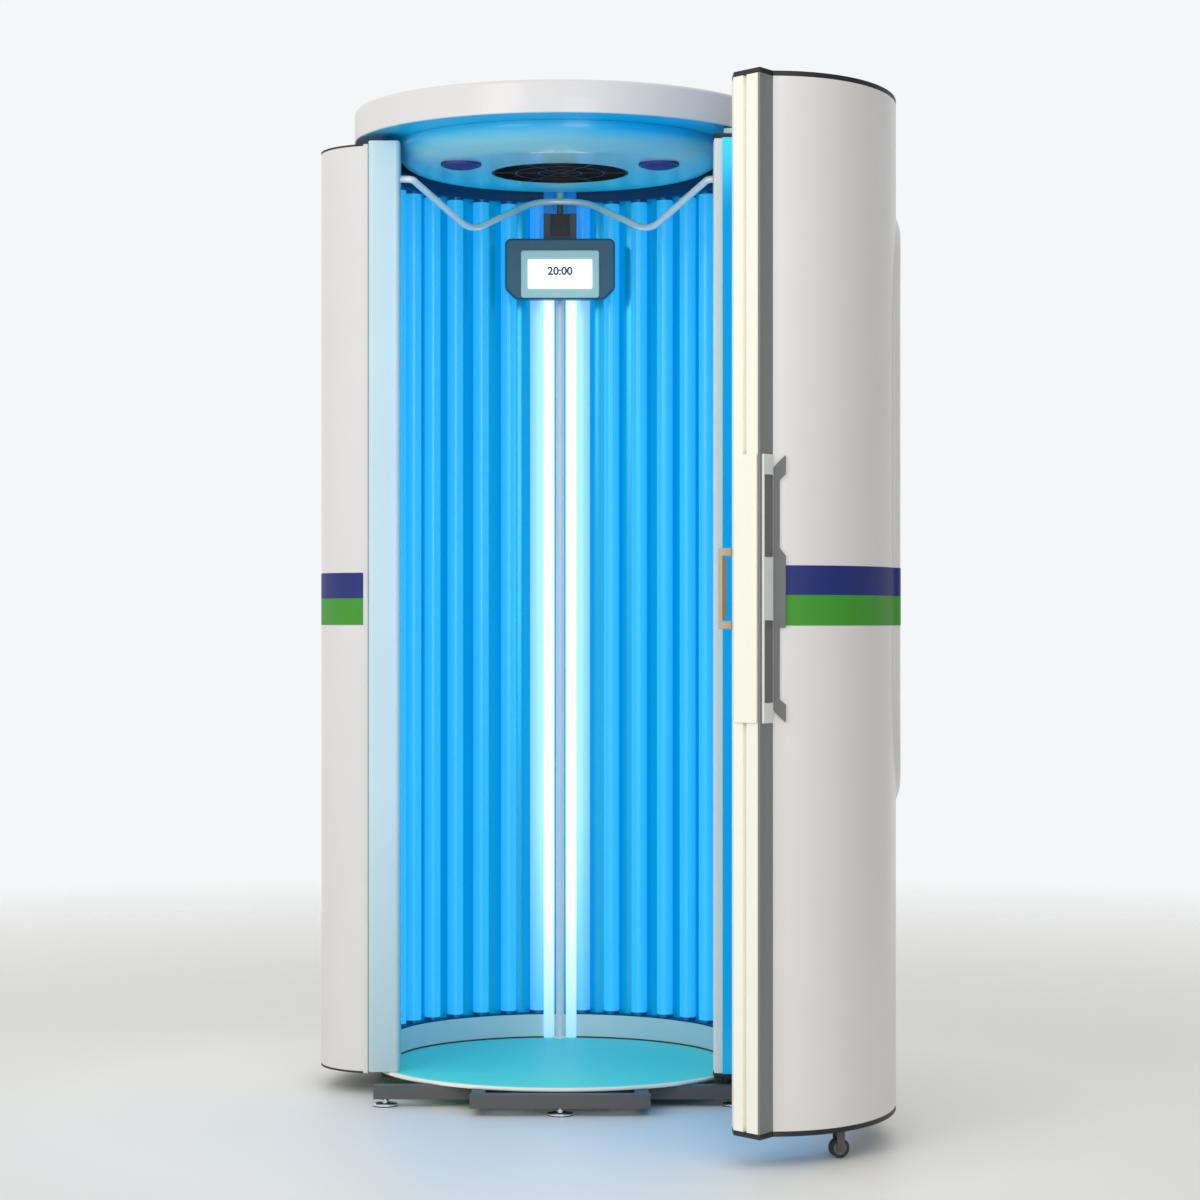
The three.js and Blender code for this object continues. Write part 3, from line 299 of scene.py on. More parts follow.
# A profile of (radius, z) turned about a vertical line; a closed profile gives a ring.
def addLathe(bm, profile, centre, sides, closed=False, index=0):
    rings = []
    for radius, z in profile:
        if radius < 1e-6:
            rings.append([bm.verts.new((centre[0], centre[1], z))])
            continue
        angles = [2 * math.pi * k / sides for k in range(sides)]
        rings.append([bm.verts.new((centre[0] + radius * math.cos(a), centre[1] + radius * math.sin(a), z))
                      for a in angles])
    pairs = list(zip(rings, rings[1:])) + ([(rings[-1], rings[0])] if closed else [])
    for near, far in pairs:
        for k in range(sides):
            n = (k + 1) % sides
            corners = [near[k % len(near)], near[n % len(near)], far[n % len(far)], far[k % len(far)]]
            unique = list(dict.fromkeys(corners))
            if len(unique) > 2:
                bm.faces.new(unique).material_index = index


def arcPoints(cx, cy, radius, start, end, count):
    angles = [math.radians(start + (end - start) * i / count) for i in range(count + 1)]
    return [(cx + radius * math.cos(a), cy + radius * math.sin(a)) for a in angles]


# A band about the cabin's middle, between two radii and two turns
def arcBand(outer, inner, start, end, count):
    return (arcPoints(axis.x, axis.y, outer, start, end, count)
            + arcPoints(axis.x, axis.y, inner, end, start, count))


# A point of the open door's curved front, drawn in by an inset; turn runs from 0 at the free edge to 180.
def doorPoint(inset, turn):
    a = math.radians(turn)
    return (doorStart + (doorBulge - inset) * math.sin(a), doorMid - (doorHalf - inset) * math.cos(a))


def doorBand(outer, inner, start, end, count):
    turns = [start + (end - start) * i / count for i in range(count + 1)]
    return [doorPoint(outer, t) for t in turns] + [doorPoint(inner, t) for t in reversed(turns)]


# Camera at the photograph's place: level, square on to the cabin, seven metres from its middle
view = dict(distance=7.0, height=1.066, focal=91.1, sensor=36, shiftX=0.0333, shiftY=0.0175)
cameraData = bpy.data.cameras.new("camera")
cameraData.lens = view["focal"]
cameraData.sensor_width = view["sensor"]
cameraData.shift_x = view["shiftX"]
cameraData.shift_y = view["shiftY"]
camera = bpy.data.objects.new("camera", cameraData)
camera.location = (axis.x, axis.y - view["distance"], view["height"])
camera.rotation_euler = (math.radians(90), 0, 0)
bpy.context.scene.collection.objects.link(camera)
bpy.context.scene.camera = camera
print("camera set")

# Covers and posts; seam is the turn from the cabin's back to the joint between covers, in degrees
shell = dict(sideBend=161 * mm, sweep=74, edge=1.6 * mm, margin=4, tapeRoom=0.5 * mm, seam=44.6,
             postEdge=1.2 * mm, postSmooth=28)
coverLow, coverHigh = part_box("cover_left")
coverRadius = axis.x - coverLow.x
drawIn = 1 - shell["tapeRoom"] / coverRadius
for coverName in ("cover_left", "cover_right", "cover_back"):
    dress(coverName, "powderCoatWhite", "cabin", shell["edge"], draw=drawIn)
# The posts carry painted blue lamp light, and painted shade towards the floor.
for postName in ("post_left", "post_right"):
    dress(postName, "postLacquerPaintedLight", "cabin", shell["postEdge"], shell["postSmooth"])
print("shell done")

# Stripes: blue tape over green, on the covers and across the door, and black strips at the covers' top and
# bottom edges
stripe = dict(greenLow=1.057, split=1.117, blueTop=1.175, thick=0.35 * mm, skin=0.15 * mm, endStrip=4.4 * mm,
              bendSteps=24, sideSteps=30, backSteps=48)


def coverStripe(side, lift):
    bendX = coverRadius - shell["sideBend"]
    bendEnd = shell["margin"] - shell["sweep"]
    bend = arcPoints(bendX, 0, shell["sideBend"] + lift, 0, bendEnd, stripe["bendSteps"])
    points = arcPoints(0, 0, coverRadius + lift, 90 - shell["seam"], 0, stripe["sideSteps"]) + bend[1:]
    return [(axis.x + side * x, axis.y + y) for x, y in points]


def addStripes(name, inner, outer, body):
    loop = inner + outer[::-1]
    for colour, low, high in (("vinylGreen", stripe["greenLow"], stripe["split"]),
                              ("vinylBlue", stripe["split"], stripe["blueTop"])):
        bm = bmesh.new()
        addPrism(bm, loop, low, high)
        settle(piece(f"stripe_{name}_{colour}", bm, [colour]), body)


sides = dict(left=-1, right=1)
tape, skin = stripe["thick"], stripe["skin"]
under = skin - shell["tapeRoom"]
for sideName, side in sides.items():
    addStripes(sideName, coverStripe(side, under), coverStripe(side, under + tape), "cabin")
backInner, backOuter = [
    arcPoints(axis.x, axis.y, coverRadius + lift, 90 - shell["seam"], 90 + shell["seam"], stripe["backSteps"])
    for lift in (under, under + tape)]
addStripes("back", backInner, backOuter, "cabin")
for sideName, side in sides.items():
    bm = bmesh.new()
    loop = coverStripe(side, under) + coverStripe(side, under + tape)[::-1]
    addPrism(bm, loop, coverLow.z, coverLow.z + stripe["endStrip"])
    addPrism(bm, loop, coverHigh.z - stripe["endStrip"], coverHigh.z)
    settle(piece(f"cover_black_strips_{sideName}", bm, ["rubberTread"]), "cabin")
print("stripes done")

# Lamps: glass tubes with pressed end caps, in holder strips; first and pitch are degrees from the back
lamp = dict(radius=19 * mm, cap=19.6 * mm, capLength=7 * mm, capEdge=0.15 * mm, low=0.112, high=2.086,
            ring=410 * mm, first=7.6, pitch=10.15, perBank=5, holderIn=389 * mm, holderOut=413.4 * mm,
            holderGap=0.03, holderSteps=20, sides=28)
# The lamps' end caps are painted blue for the lamps' light on them.
lampFinishes = ["litLampGlass", "lampCapPaintedBlue", "mouldedHolderPaintedShade", "litLampWhite"]
glassIndex, capIndex, holderIndex, paleIndex = range(len(lampFinishes))


def addLamp(bm, x, y, index):
    low, high, length = lamp["low"], lamp["high"], lamp["capLength"]
    cap, edge = lamp["cap"], lamp["capEdge"]
    addLathe(bm, [(lamp["radius"], low + length), (lamp["radius"], high - length)], (x, y), lamp["sides"],
             index=index)
    for start, end in ((low, low + length), (high - length, high)):
        addLathe(bm, [(0, start), (cap - edge, start), (cap, start + edge), (cap, end - edge),
                      (cap - edge, end), (0, end)], (x, y), lamp["sides"], index=capIndex)


# The lamp beside the pole is paler than the rest.
def addLampBank(node, places, strip, body, pale=None):
    bm = bmesh.new()
    low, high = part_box(node)
    # The holder strips at both ends carry painted dark-blue lamp light and shade.
    addPrism(bm, strip, low.z, lamp["low"], holderIndex)
    addPrism(bm, strip, lamp["high"], high.z, holderIndex)
    for i, (x, y) in enumerate(places):
        addLamp(bm, x, y, paleIndex if i == pale else glassIndex)
    settle(piece(node + "_tubes", bm, lampFinishes, smooth=40), body, [node])


for sideName, side in sides.items():
    for bankName, first in (("back", 0), ("front", lamp["perBank"])):
        turns = [side * (lamp["first"] + lamp["pitch"] * (first + i)) for i in range(lamp["perBank"])]
        places = [(axis.x + lamp["ring"] * math.sin(math.radians(t)),
                   axis.y + lamp["ring"] * math.cos(math.radians(t))) for t in turns]
        reach = lamp["pitch"] / 2 - lamp["holderGap"]
        start, end = 90 - min(turns) + reach, 90 - max(turns) - reach
        strip = arcBand(lamp["holderOut"], lamp["holderIn"], start, end, lamp["holderSteps"])
        addLampBank(f"lamp_bank_{sideName}_{bankName}", places, strip, "cabin", 0 if first == 0 else None)

# The door's lamps stand at even steps along its curve, which is walked in short chords.
doorLamp = dict(count=10, depth=98 * mm, strip=15.7 * mm, stripSteps=48, chords=720)
chordTurn = 180 / doorLamp["chords"]
curvePoints = [doorPoint(doorLamp["depth"], chordTurn * i) for i in range(doorLamp["chords"] + 1)]
walked = [0.0]
for (x0, y0), (x1, y1) in zip(curvePoints, curvePoints[1:]):
    walked.append(walked[-1] + math.hypot(x1 - x0, y1 - y0))


def alongDoor(share):
    goal = share * walked[-1]
    at = next(i for i, length in enumerate(walked) if length >= goal)
    return curvePoints[at]


doorPlaces = [alongDoor((i + 0.5) / doorLamp["count"]) for i in range(doorLamp["count"])]
doorStrip = doorBand(doorLamp["depth"] - doorLamp["strip"], doorLamp["depth"] + doorLamp["strip"], 0, 180,
                     doorLamp["stripSteps"])
addLampBank("door_lamp_bank", doorPlaces, doorStrip, "door")


# No lamp lights the back of the cabin's reflectors, which shows through the vents.
def greyBack(obj):
    obj.data.materials.append(materials["galvanisedSteel"])
    for face in obj.data.polygons:
        outward = Vector((face.center.x - axis.x, face.center.y - axis.y, 0))
        face.material_index = int(face.normal.dot(outward) > 0)


# The reflectors' inner faces carry the painted blue glow; their backs are grey.
for node, body in (("reflector_left", "cabin"), ("reflector_right", "cabin"), ("door_reflector", "door")):
    mirror = dress(node, "reflectorPaintedGlow", body, smooth=20)
    if body == "cabin":
        greyBack(mirror)
# A strip over the gap between the reflectors, with their painted blue glow inside and grey behind.
mirrorSeam = dict(inner=414 * mm, outer=415.5 * mm, turn=2.7, steps=4)
mirrorLow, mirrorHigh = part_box("reflector_left")
bm = bmesh.new()
addPrism(bm, arcBand(mirrorSeam["outer"], mirrorSeam["inner"], 90 - mirrorSeam["turn"],
                     90 + mirrorSeam["turn"], mirrorSeam["steps"]), mirrorLow.z, mirrorHigh.z)
greyBack(settle(piece("reflector_seam", bm, ["reflectorPaintedGlow"]), "cabin"))
print("lamps done")

# Floor, skirting and base; rings are circles on the plate's top, in metres
floorLook = dict(edge=1.5 * mm, rings=(0.3, 0.15), rimGap=0.4 * mm, rimDrop=3 * mm, rimChamfer=1 * mm,
                 sides=144)
platformLow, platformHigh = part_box("platform")
rimLow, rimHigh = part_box("platform_rim")
plateRadius = (platformHigh.x - platformLow.x) / 2
rimRadius = (rimHigh.x - rimLow.x) / 2
edge = floorLook["edge"]
bm = bmesh.new()
addLathe(bm, [(0, platformLow.z), (plateRadius - edge, platformLow.z), (plateRadius, platformLow.z + edge),
              (plateRadius, platformHigh.z - edge), (plateRadius - edge, platformHigh.z)]
         + [(ring, platformHigh.z) for ring in floorLook["rings"]] + [(0, platformHigh.z)],
         cabinMiddle, floorLook["sides"])
settle(piece("platform_plate", bm, ["castAcrylicTeal"]), "cabin", ["platform"])
rimInner = plateRadius + floorLook["rimGap"]
drop, chamfer = floorLook["rimDrop"], floorLook["rimChamfer"]
bm = bmesh.new()
addLathe(bm, [(rimInner, rimLow.z), (rimRadius - edge, rimLow.z), (rimRadius, rimLow.z + edge),
              (rimRadius, rimHigh.z - drop), (rimRadius - chamfer, rimHigh.z - chamfer),
              (rimRadius - drop, rimHigh.z), (rimInner, rimHigh.z)],
         cabinMiddle, floorLook["sides"], closed=True)
settle(piece("platform_edge_ring", bm, ["extrudedCreamPvc"], smooth=50), "cabin",
       ["platform_rim"])
dress("skirting", "brushedAluminiumGrey", "cabin", bevel=0.8 * mm)
# A thin black ring on the plate's top along its back edge, against the skirting.
bead = dict(outer=382.9 * mm, inner=380.6 * mm, lift=0.05 * mm, high=3 * mm, turn=103, steps=90)
bm = bmesh.new()
addPrism(bm, arcBand(bead["outer"], bead["inner"], 90 - bead["turn"], 90 + bead["turn"], bead["steps"]),
         platformHigh.z + bead["lift"], platformHigh.z + bead["high"])
settle(piece("floor_bead", bm, ["rubberTread"]), "cabin")
dress("base_frame", "paintedSteelDark", "cabin", bevel=2.2 * mm, steps=3)
# A levelling foot from the floor up: rubber sole, chrome flange that narrows to a neck, nut, threaded stem
foot = dict(sole=1.8 * mm, soleEdge=1 * mm, flangeTop=5 * mm, flangeEdge=1.2 * mm, slope=0.6, slopeTop=8.2 * mm,
            neck=11 * mm, neckTop=9 * mm, overlap=0.2 * mm, nut=9 * mm, nutTop=13 * mm, nutEdge=0.4 * mm,
            nutCrown=0.6 * mm, stem=6 * mm, thread=0.5 * mm, threads=6, sides=40, nutSides=6, stemSides=24)
for footName in ("foot_front_left", "foot_front_right", "foot_front_centre", "foot_back_left",
                 "foot_back_right"):
    low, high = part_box(footName)
    middle = ((low.x + high.x) / 2, (low.y + high.y) / 2)
    pad, stem = (high.x - low.x) / 2, foot["stem"]
    nut, nutEdge, nutTop, neckTop = foot["nut"], foot["nutEdge"], foot["nutTop"], foot["neckTop"]
    bm = bmesh.new()
    addLathe(bm, [(0, 0), (pad - foot["soleEdge"], 0), (pad, foot["soleEdge"]), (pad, foot["sole"])],
             middle, foot["sides"], index=1)
    addLathe(bm, [(pad, foot["sole"]), (pad, foot["flangeTop"]),
                  (pad - foot["flangeEdge"], foot["flangeTop"] + foot["flangeEdge"]),
                  (pad * foot["slope"], foot["slopeTop"]), (foot["neck"], neckTop),
                  (nut, neckTop + foot["overlap"])], middle, foot["sides"])
    addLathe(bm, [(nut - nutEdge, neckTop), (nut, neckTop + nutEdge), (nut, nutTop - nutEdge),
                  (nut - foot["nutCrown"], nutTop), (stem, nutTop)], middle, foot["nutSides"])
    addLathe(bm, [(stem - foot["thread"] * (i % 2), nutTop - foot["overlap"] + i * foot["thread"])
                  for i in range(foot["threads"])] + [(stem, high.z), (0, high.z)], middle, foot["stemSides"])
    settle(piece(footName + "_turned", bm, ["polishedChrome", "rubberTread"], smooth=40), "cabin",
           [footName])
print("base done")

# Canopy, ceiling, fan and speakers
top = dict(wall=5.7 * mm, round=9 * mm, lid=6 * mm, hole=150 * mm, holeEdge=2 * mm, lowEdge=1.5 * mm,
           innerEdge=1 * mm, sheet=3 * mm, bowlWidth=78 * mm, bowlRise=53 * mm, fanHole=158 * mm, sides=160)
canopyRadius = (canopyHigh.x - canopyLow.x) / 2
bandLow, bandHigh, crownRound = canopyLow.z, canopyHigh.z, top["round"]
crown = [(canopyRadius - crownRound + crownRound * math.cos(math.radians(a)),
          bandHigh - crownRound + crownRound * math.sin(math.radians(a))) for a in range(0, 91, 15)]
bandInner = canopyRadius - top["wall"]
hole, lidLow, sheet = top["hole"], bandHigh - top["lid"], top["sheet"]
bm = bmesh.new()
addLathe(bm, [(bandInner + top["innerEdge"], bandLow), (canopyRadius - top["lowEdge"], bandLow),
              (canopyRadius, bandLow + top["lowEdge"])] + crown
         + [(hole + top["holeEdge"], bandHigh), (hole, bandHigh - top["holeEdge"]), (hole, lidLow),
            (bandInner, lidLow), (bandInner, bandLow + top["innerEdge"])],
         cabinMiddle, top["sides"], closed=True)
ceilingLow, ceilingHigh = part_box("ceiling")
bowlRadius = (ceilingHigh.x - ceilingLow.x) / 2
flange = bowlRadius - sheet
# The flange under the band takes the ceiling's finish, with its painted blue lamp light.
addLathe(bm, [(flange, bandLow), (bandInner, bandLow), (bandInner, bandLow + sheet), (flange, bandLow + sheet)],
         cabinMiddle, top["sides"], closed=True, index=1)
settle(piece("canopy_band", bm, ["powderCoatWhite", "ceilingPaintedLampLight"], smooth=40), "cabin",
       ["canopy"])
# The ceiling's flat turns up into the rim through a quarter of an ellipse.
bowlWidth, bowlRise, flatLow = top["bowlWidth"], top["bowlRise"], ceilingLow.z
bowl = [(math.sin(math.radians(a)), 1 - math.cos(math.radians(a))) for a in range(0, 91, 6)]
below = [(bowlRadius - bowlWidth * (1 - out), flatLow + bowlRise * up) for out, up in bowl]
above = [(bowlRadius - sheet - (bowlWidth - sheet) * (1 - out), flatLow + sheet + (bowlRise - sheet) * up)
         for out, up in bowl]
bm = bmesh.new()
addLathe(bm, [(top["fanHole"], flatLow)] + below
         + [(bowlRadius, ceilingHigh.z), (bowlRadius - sheet, ceilingHigh.z)]
         + above[::-1] + [(top["fanHole"], flatLow + sheet)], cabinMiddle, top["sides"], closed=True)
settle(piece("ceiling_bowl", bm, ["ceilingPaintedLampLight"], smooth=40), "cabin", ["ceiling"])
dress("fan_guard", "mouldedBlack", "cabin", bevel=0.6 * mm, smooth=40)
dress("fan_rotor", "mouldedBlack", "fan", bevel=0.7 * mm)
dress("fan_motor", "paintedSteelDark", "cabin", bevel=1 * mm)
# A speaker's ring as shares of its radius and of its depth; the cloth domes on from the ring's last point.
speaker = dict(ring=[(1, 0), (1, 0.25), (0.97, 0.42), (0.9, 0.5), (0.84, 0.4)], sides=64)
clothOut, clothDown = speaker["ring"][-1]
for speakerName in ("speaker_left", "speaker_right"):
    low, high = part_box(speakerName)
    middle = ((low.x + high.x) / 2, (low.y + high.y) / 2)
    radius, depth = (high.x - low.x) / 2, high.z - low.z
    bm = bmesh.new()
    addLathe(bm, [(radius * out, high.z - depth * down) for out, down in speaker["ring"]], middle,
             speaker["sides"], index=1)
    dome = [(radius * clothOut * math.cos(math.radians(a)),
             high.z - depth * (clothDown + (1 - clothDown) * math.sin(math.radians(a))))
            for a in range(0, 90, 9)]
    addLathe(bm, dome + [(0, low.z)], middle, speaker["sides"])
    settle(piece(speakerName + "_cone", bm, ["speakerClothViolet", "mouldedViolet"], smooth=60), "cabin",
           [speakerName])
print("top done")

# Pole and light strips; the collar's points are millimetres beyond the tube and up from the floor
pole = dict(collar=[(7, 0), (7, 3), (5, 5), (0, 6)], sides=48)
poleLow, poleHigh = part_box("centre_pole")
poleMiddle = ((poleLow.x + poleHigh.x) / 2, (poleLow.y + poleHigh.y) / 2)
poleRadius = (poleHigh.x - poleLow.x) / 2
bm = bmesh.new()
addLathe(bm, [(0, poleLow.z)] + [(poleRadius + out * mm, poleLow.z + up * mm) for out, up in pole["collar"]]
         + [(poleRadius, poleHigh.z), (0, poleHigh.z)], poleMiddle, pole["sides"])
settle(piece("centre_pole_tube", bm, ["drawnSteelTube"], smooth=50), "cabin", ["centre_pole"])
# The light strips are white, with painted dark-blue shade above the screen.
for stripName in ("light_strip_left", "light_strip_right"):
    dress(stripName, "opalDiffuserPaintedShade", "cabin", bevel=3.5 * mm, steps=4)

# The bent hand rail, from the corners of its right half; spare keeps neighbouring bends apart
rail = dict(radius=8 * mm, stub=26 * mm, endY=-155 * mm, endZ=2.062, knee=(208 * mm, 95 * mm, 1.977),
            apex=(60 * mm, 342 * mm, 2.080), bend=55 * mm, spare=2.2, bendSteps=8, roundness=8)
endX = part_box("hand_rail")[1].x - axis.x
halfRail = [Vector((endX, rail["endY"], rail["endZ"])),
            Vector((endX - rail["stub"], rail["endY"], rail["endZ"])),
            Vector(rail["knee"]), Vector(rail["apex"])]
railCorners = [Vector((-p.x, p.y, p.z)) for p in halfRail] + halfRail[::-1]
railPath = [railCorners[0]]
for before, corner, after in zip(railCorners, railCorners[1:], railCorners[2:]):
    reach = min(rail["bend"], (corner - before).length / rail["spare"], (after - corner).length / rail["spare"])
    enter = corner + (before - corner).normalized() * reach
    leave = corner + (after - corner).normalized() * reach
    for i in range(rail["bendSteps"] + 1):
        t = i / rail["bendSteps"]
        railPath.append(enter * (1 - t) ** 2 + corner * 2 * t * (1 - t) + leave * t ** 2)
railPath.append(railCorners[-1])
railCurve = bpy.data.curves.new("hand_rail_tube", "CURVE")
railCurve.dimensions = "3D"
railCurve.bevel_depth = rail["radius"]
railCurve.bevel_resolution = rail["roundness"]
railCurve.use_fill_caps = True
spline = railCurve.splines.new("POLY")
spline.points.add(len(railPath) - 1)
for spot, p in zip(spline.points, railPath):
    spot.co = (p.x + axis.x, p.y + axis.y, p.z, 1)
railCurve.materials.append(materials["satinChromeTube"])
railTube = bpy.data.objects.new("hand_rail_tube", railCurve)
bpy.context.scene.collection.objects.link(railTube)
settle(railTube, "cabin", ["hand_rail"])
print("fittings done")

# Control screen, with a dark inlay in its bracket; rail is how far out the bracket's own top is looked for
dress("screen_housing", "mouldedScreenCase", "cabin", bevel=5 * mm, steps=4)
dress("screen_bezel", "mouldedBezelTeal", "cabin", bevel=2 * mm, steps=3)
dress("screen_display", "litDisplay", "cabin", bevel=0.5 * mm)
dress("screen_bracket", "paintedSteelDark", "cabin", bevel=1.5 * mm)
inlay = dict(half=22.6 * mm, depth=8.6 * mm, thick=1.2 * mm, rise=11 * mm, rail=30 * mm)
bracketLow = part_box("screen_bracket")[0]
bracketTop = max(v.co.z for v in nodes["screen_bracket"].data.vertices if abs(v.co.x - axis.x) > inlay["rail"])
inlayFront = bracketLow.y + inlay["depth"]
inlayBack = inlayFront + inlay["thick"]
bm = bmesh.new()
addPrism(bm, [(axis.x - inlay["half"], inlayFront), (axis.x + inlay["half"], inlayFront),
              (axis.x + inlay["half"], inlayBack), (axis.x - inlay["half"], inlayBack)],
         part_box("screen_housing")[1].z + inlay["rise"], bracketTop)
settle(piece("bracket_inlay", bm, ["mouldedBlack"]), "cabin")
displayLow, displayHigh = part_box("screen_display")
displayMid = (displayLow + displayHigh) / 2
readout = dict(text="20:00", height=27 * mm, bold=0.9 * mm, thick=0.1 * mm, proud=0.2 * mm, drop=2 * mm)
digits = bpy.data.curves.new("screen_digits", "FONT")
digits.body = readout["text"]
digits.size = readout["height"]
digits.offset = readout["bold"]
digits.extrude = readout["thick"]
digits.align_x = "CENTER"
digits.materials.append(materials["printedInk"])
digitsObj = bpy.data.objects.new("screen_digits", digits)
digitsObj.location = (displayMid.x, displayLow.y - readout["proud"], displayMid.z - readout["drop"])
digitsObj.rotation_euler = (math.radians(90), 0, 0)
bpy.context.scene.collection.objects.link(digitsObj)
settle(digitsObj, "cabin")
print("screen done")

# Door: curved panel, raised panel, edges, handle; turns along the curve are in degrees
door = dict(wall=4 * mm, raisedLow=0.680, raisedTop=1.920, raisedHalf=20, lift=9.4 * mm, corner=0.24,
            runOut=0.16, tuck=0.6 * mm, thickShare=0.3, panelSteps=150, columns=40, rows=110,
            stripeGap=0.3 * mm, stripeEnd=172)
raisedMid = (door["raisedLow"] + door["raisedTop"]) / 2
raisedReach = (door["raisedTop"] - door["raisedLow"]) / 2
bm = bmesh.new()
addPrism(bm, doorBand(0, door["wall"], 0, 180, door["panelSteps"]), panelLow.z, panelHigh.z)
settle(piece("door_panel_sheet", bm, ["powderCoatWhite"], smooth=30), "door", ["door_panel"])


# The raised panel swells out of the door and runs out softly at its edges and long rounded ends.
def raisedHeight(across, up):
    beyond = max(0.0, abs(up) * raisedReach - (raisedReach - door["corner"])) / door["corner"]
    reach = math.hypot(across, beyond)
    rise = min(1.0, max(0.0, (1.0 - reach) / door["runOut"]))
    return rise * rise * (3 - 2 * rise)


bm = bmesh.new()
columns, rows = door["columns"], door["rows"]
grid = []
for j in range(rows + 1):
    up = -1 + 2 * j / rows
    line = []
    for i in range(columns + 1):
        across = -1 + 2 * i / columns
        height = raisedHeight(across, up)
        lift = door["lift"] * height if height else -door["tuck"]
        x, y = doorPoint(-lift, 90 + across * door["raisedHalf"])
        line.append(bm.verts.new((x, y, raisedMid + up * raisedReach)))
    grid.append(line)
for j in range(rows):
    for i in range(columns):
        bm.faces.new((grid[j][i], grid[j][i + 1], grid[j + 1][i + 1], grid[j + 1][i]))
backSide = bmesh.ops.extrude_face_region(bm, geom=list(bm.faces))
for vert in [v for v in backSide["geom"] if isinstance(v, bmesh.types.BMVert)]:
    vert.co.x -= door["lift"] * door["thickShare"]
settle(piece("door_raised_shell", bm, ["powderCoatWhite"], smooth=60), "door",
       ["door_raised_panel"])

dress("door_free_edge", "extrudedCreamPvc", "door", bevel=2.5 * mm, steps=3)
dress("door_hinge_edge", "extrudedCreamPvc", "door", bevel=2.5 * mm, steps=3)
dress("door_edge_strip", "extrudedGreyPvc", "door", bevel=1.2 * mm)
for capName in ("door_top_cap", "door_bottom_cap"):
    dress(capName, "powderCoatBlack", "door", bevel=1.2 * mm)
dress("handle_plate", "extrudedCreamPvc", "door", bevel=2 * mm, steps=3)
dress("handle_rail", "anodisedAluminium", "door", bevel=1 * mm)
dress("inner_pull", "mouldedBeige", "door", bevel=2.5 * mm, steps=4)
# Smoked inserts over the rail's two windows; along runs down the rail's slanted face, away from the panel.
handle = dict(along=(-0.5547, -0.8321), width=38 * mm, insert=31.5 * mm, proud=0.5 * mm, ends=40 * mm,
              window=160 * mm, edge=0.3 * mm)
handleLow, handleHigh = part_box("handle_rail")
alongX, alongY = handle["along"]
faceX, faceY = handleHigh.x, handleLow.y - alongY * handle["width"]


def onRail(distance, proud):
    return (faceX + alongX * distance - alongY * proud, faceY + alongY * distance + alongX * proud)


bm = bmesh.new()
insertStart, insertEnd = (handle["width"] - handle["insert"]) / 2, (handle["width"] + handle["insert"]) / 2
loop = [onRail(insertStart, -handle["proud"]), onRail(insertEnd, -handle["proud"]),
        onRail(insertEnd, handle["proud"]), onRail(insertStart, handle["proud"])]
for low in (handleLow.z + handle["ends"], handleHigh.z - handle["ends"] - handle["window"]):
    addPrism(bm, loop, low, low + handle["window"])
settle(piece("handle_inserts", bm, ["smokedAcrylic"], bevel=handle["edge"]), "door")
# A brown block beside the inner pull's bar, in its finger gap, is painted shade.
pullShade = dict(bar=8 * mm, thick=7 * mm, side=1 * mm, ends=20 * mm, edge=1.5 * mm)
pullLow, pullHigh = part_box("inner_pull")
barEnd = pullLow.x + pullShade["bar"]
pullShadeEnd = barEnd + pullShade["thick"]
pullShadeNear, pullShadeFar = pullLow.y + pullShade["side"], pullHigh.y - pullShade["side"]
bm = bmesh.new()
addPrism(bm, [(barEnd, pullShadeNear), (pullShadeEnd, pullShadeNear), (pullShadeEnd, pullShadeFar), (barEnd, pullShadeFar)],
         pullLow.z + pullShade["ends"], pullHigh.z - pullShade["ends"])
settle(piece("pull_painted_shade", bm, ["paintedShadeBrown"], bevel=pullShade["edge"], steps=3), "door")
# The guard's outline in millimetres across the panel and down from its top, with slanted tips and waists
guard = dict(outline=[(0, 27), (11, 14), (25, 1), (25, 38), (13, 50), (13, 182), (25, 198), (25, 338),
                      (13, 338), (13, 478), (25, 488), (25, 523), (11, 510), (0, 498)], edge=1.2 * mm)
guardLow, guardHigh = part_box("handle_guard")
bm = bmesh.new()
front = [bm.verts.new((guardLow.x + across * mm, guardLow.y, guardHigh.z - down * mm))
         for across, down in guard["outline"]]
back = [bm.verts.new((v.co.x, guardHigh.y, v.co.z)) for v in front]
bm.faces.new(front)
bm.faces.new(back[::-1])
for i in range(len(front)):
    j = (i + 1) % len(front)
    bm.faces.new((front[i], front[j], back[j], back[i]))
settle(piece("handle_guard_cut", bm, ["mouldedGuardGrey"], smooth=30, bevel=guard["edge"]), "door",
       ["handle_guard"])
# The door's stripes start beside the guard and then follow whole degrees, as the raised panel's grid does.
stripeStart = math.degrees(math.asin((guardHigh.x + door["stripeGap"] - doorStart) / doorBulge))
doorTurns = [stripeStart] + list(range(math.ceil(stripeStart + 0.1), door["stripeEnd"] + 1))


def doorStripe(lift):
    points = []
    for t in doorTurns:
        across = (t - 90) / door["raisedHalf"]
        proud = door["lift"] * raisedHeight(across, 0) if abs(across) < 1 else 0.0
        points.append(doorPoint(-lift - proud, t))
    return points


addStripes("door", doorStripe(skin), doorStripe(skin + tape), "door")
print("door done")

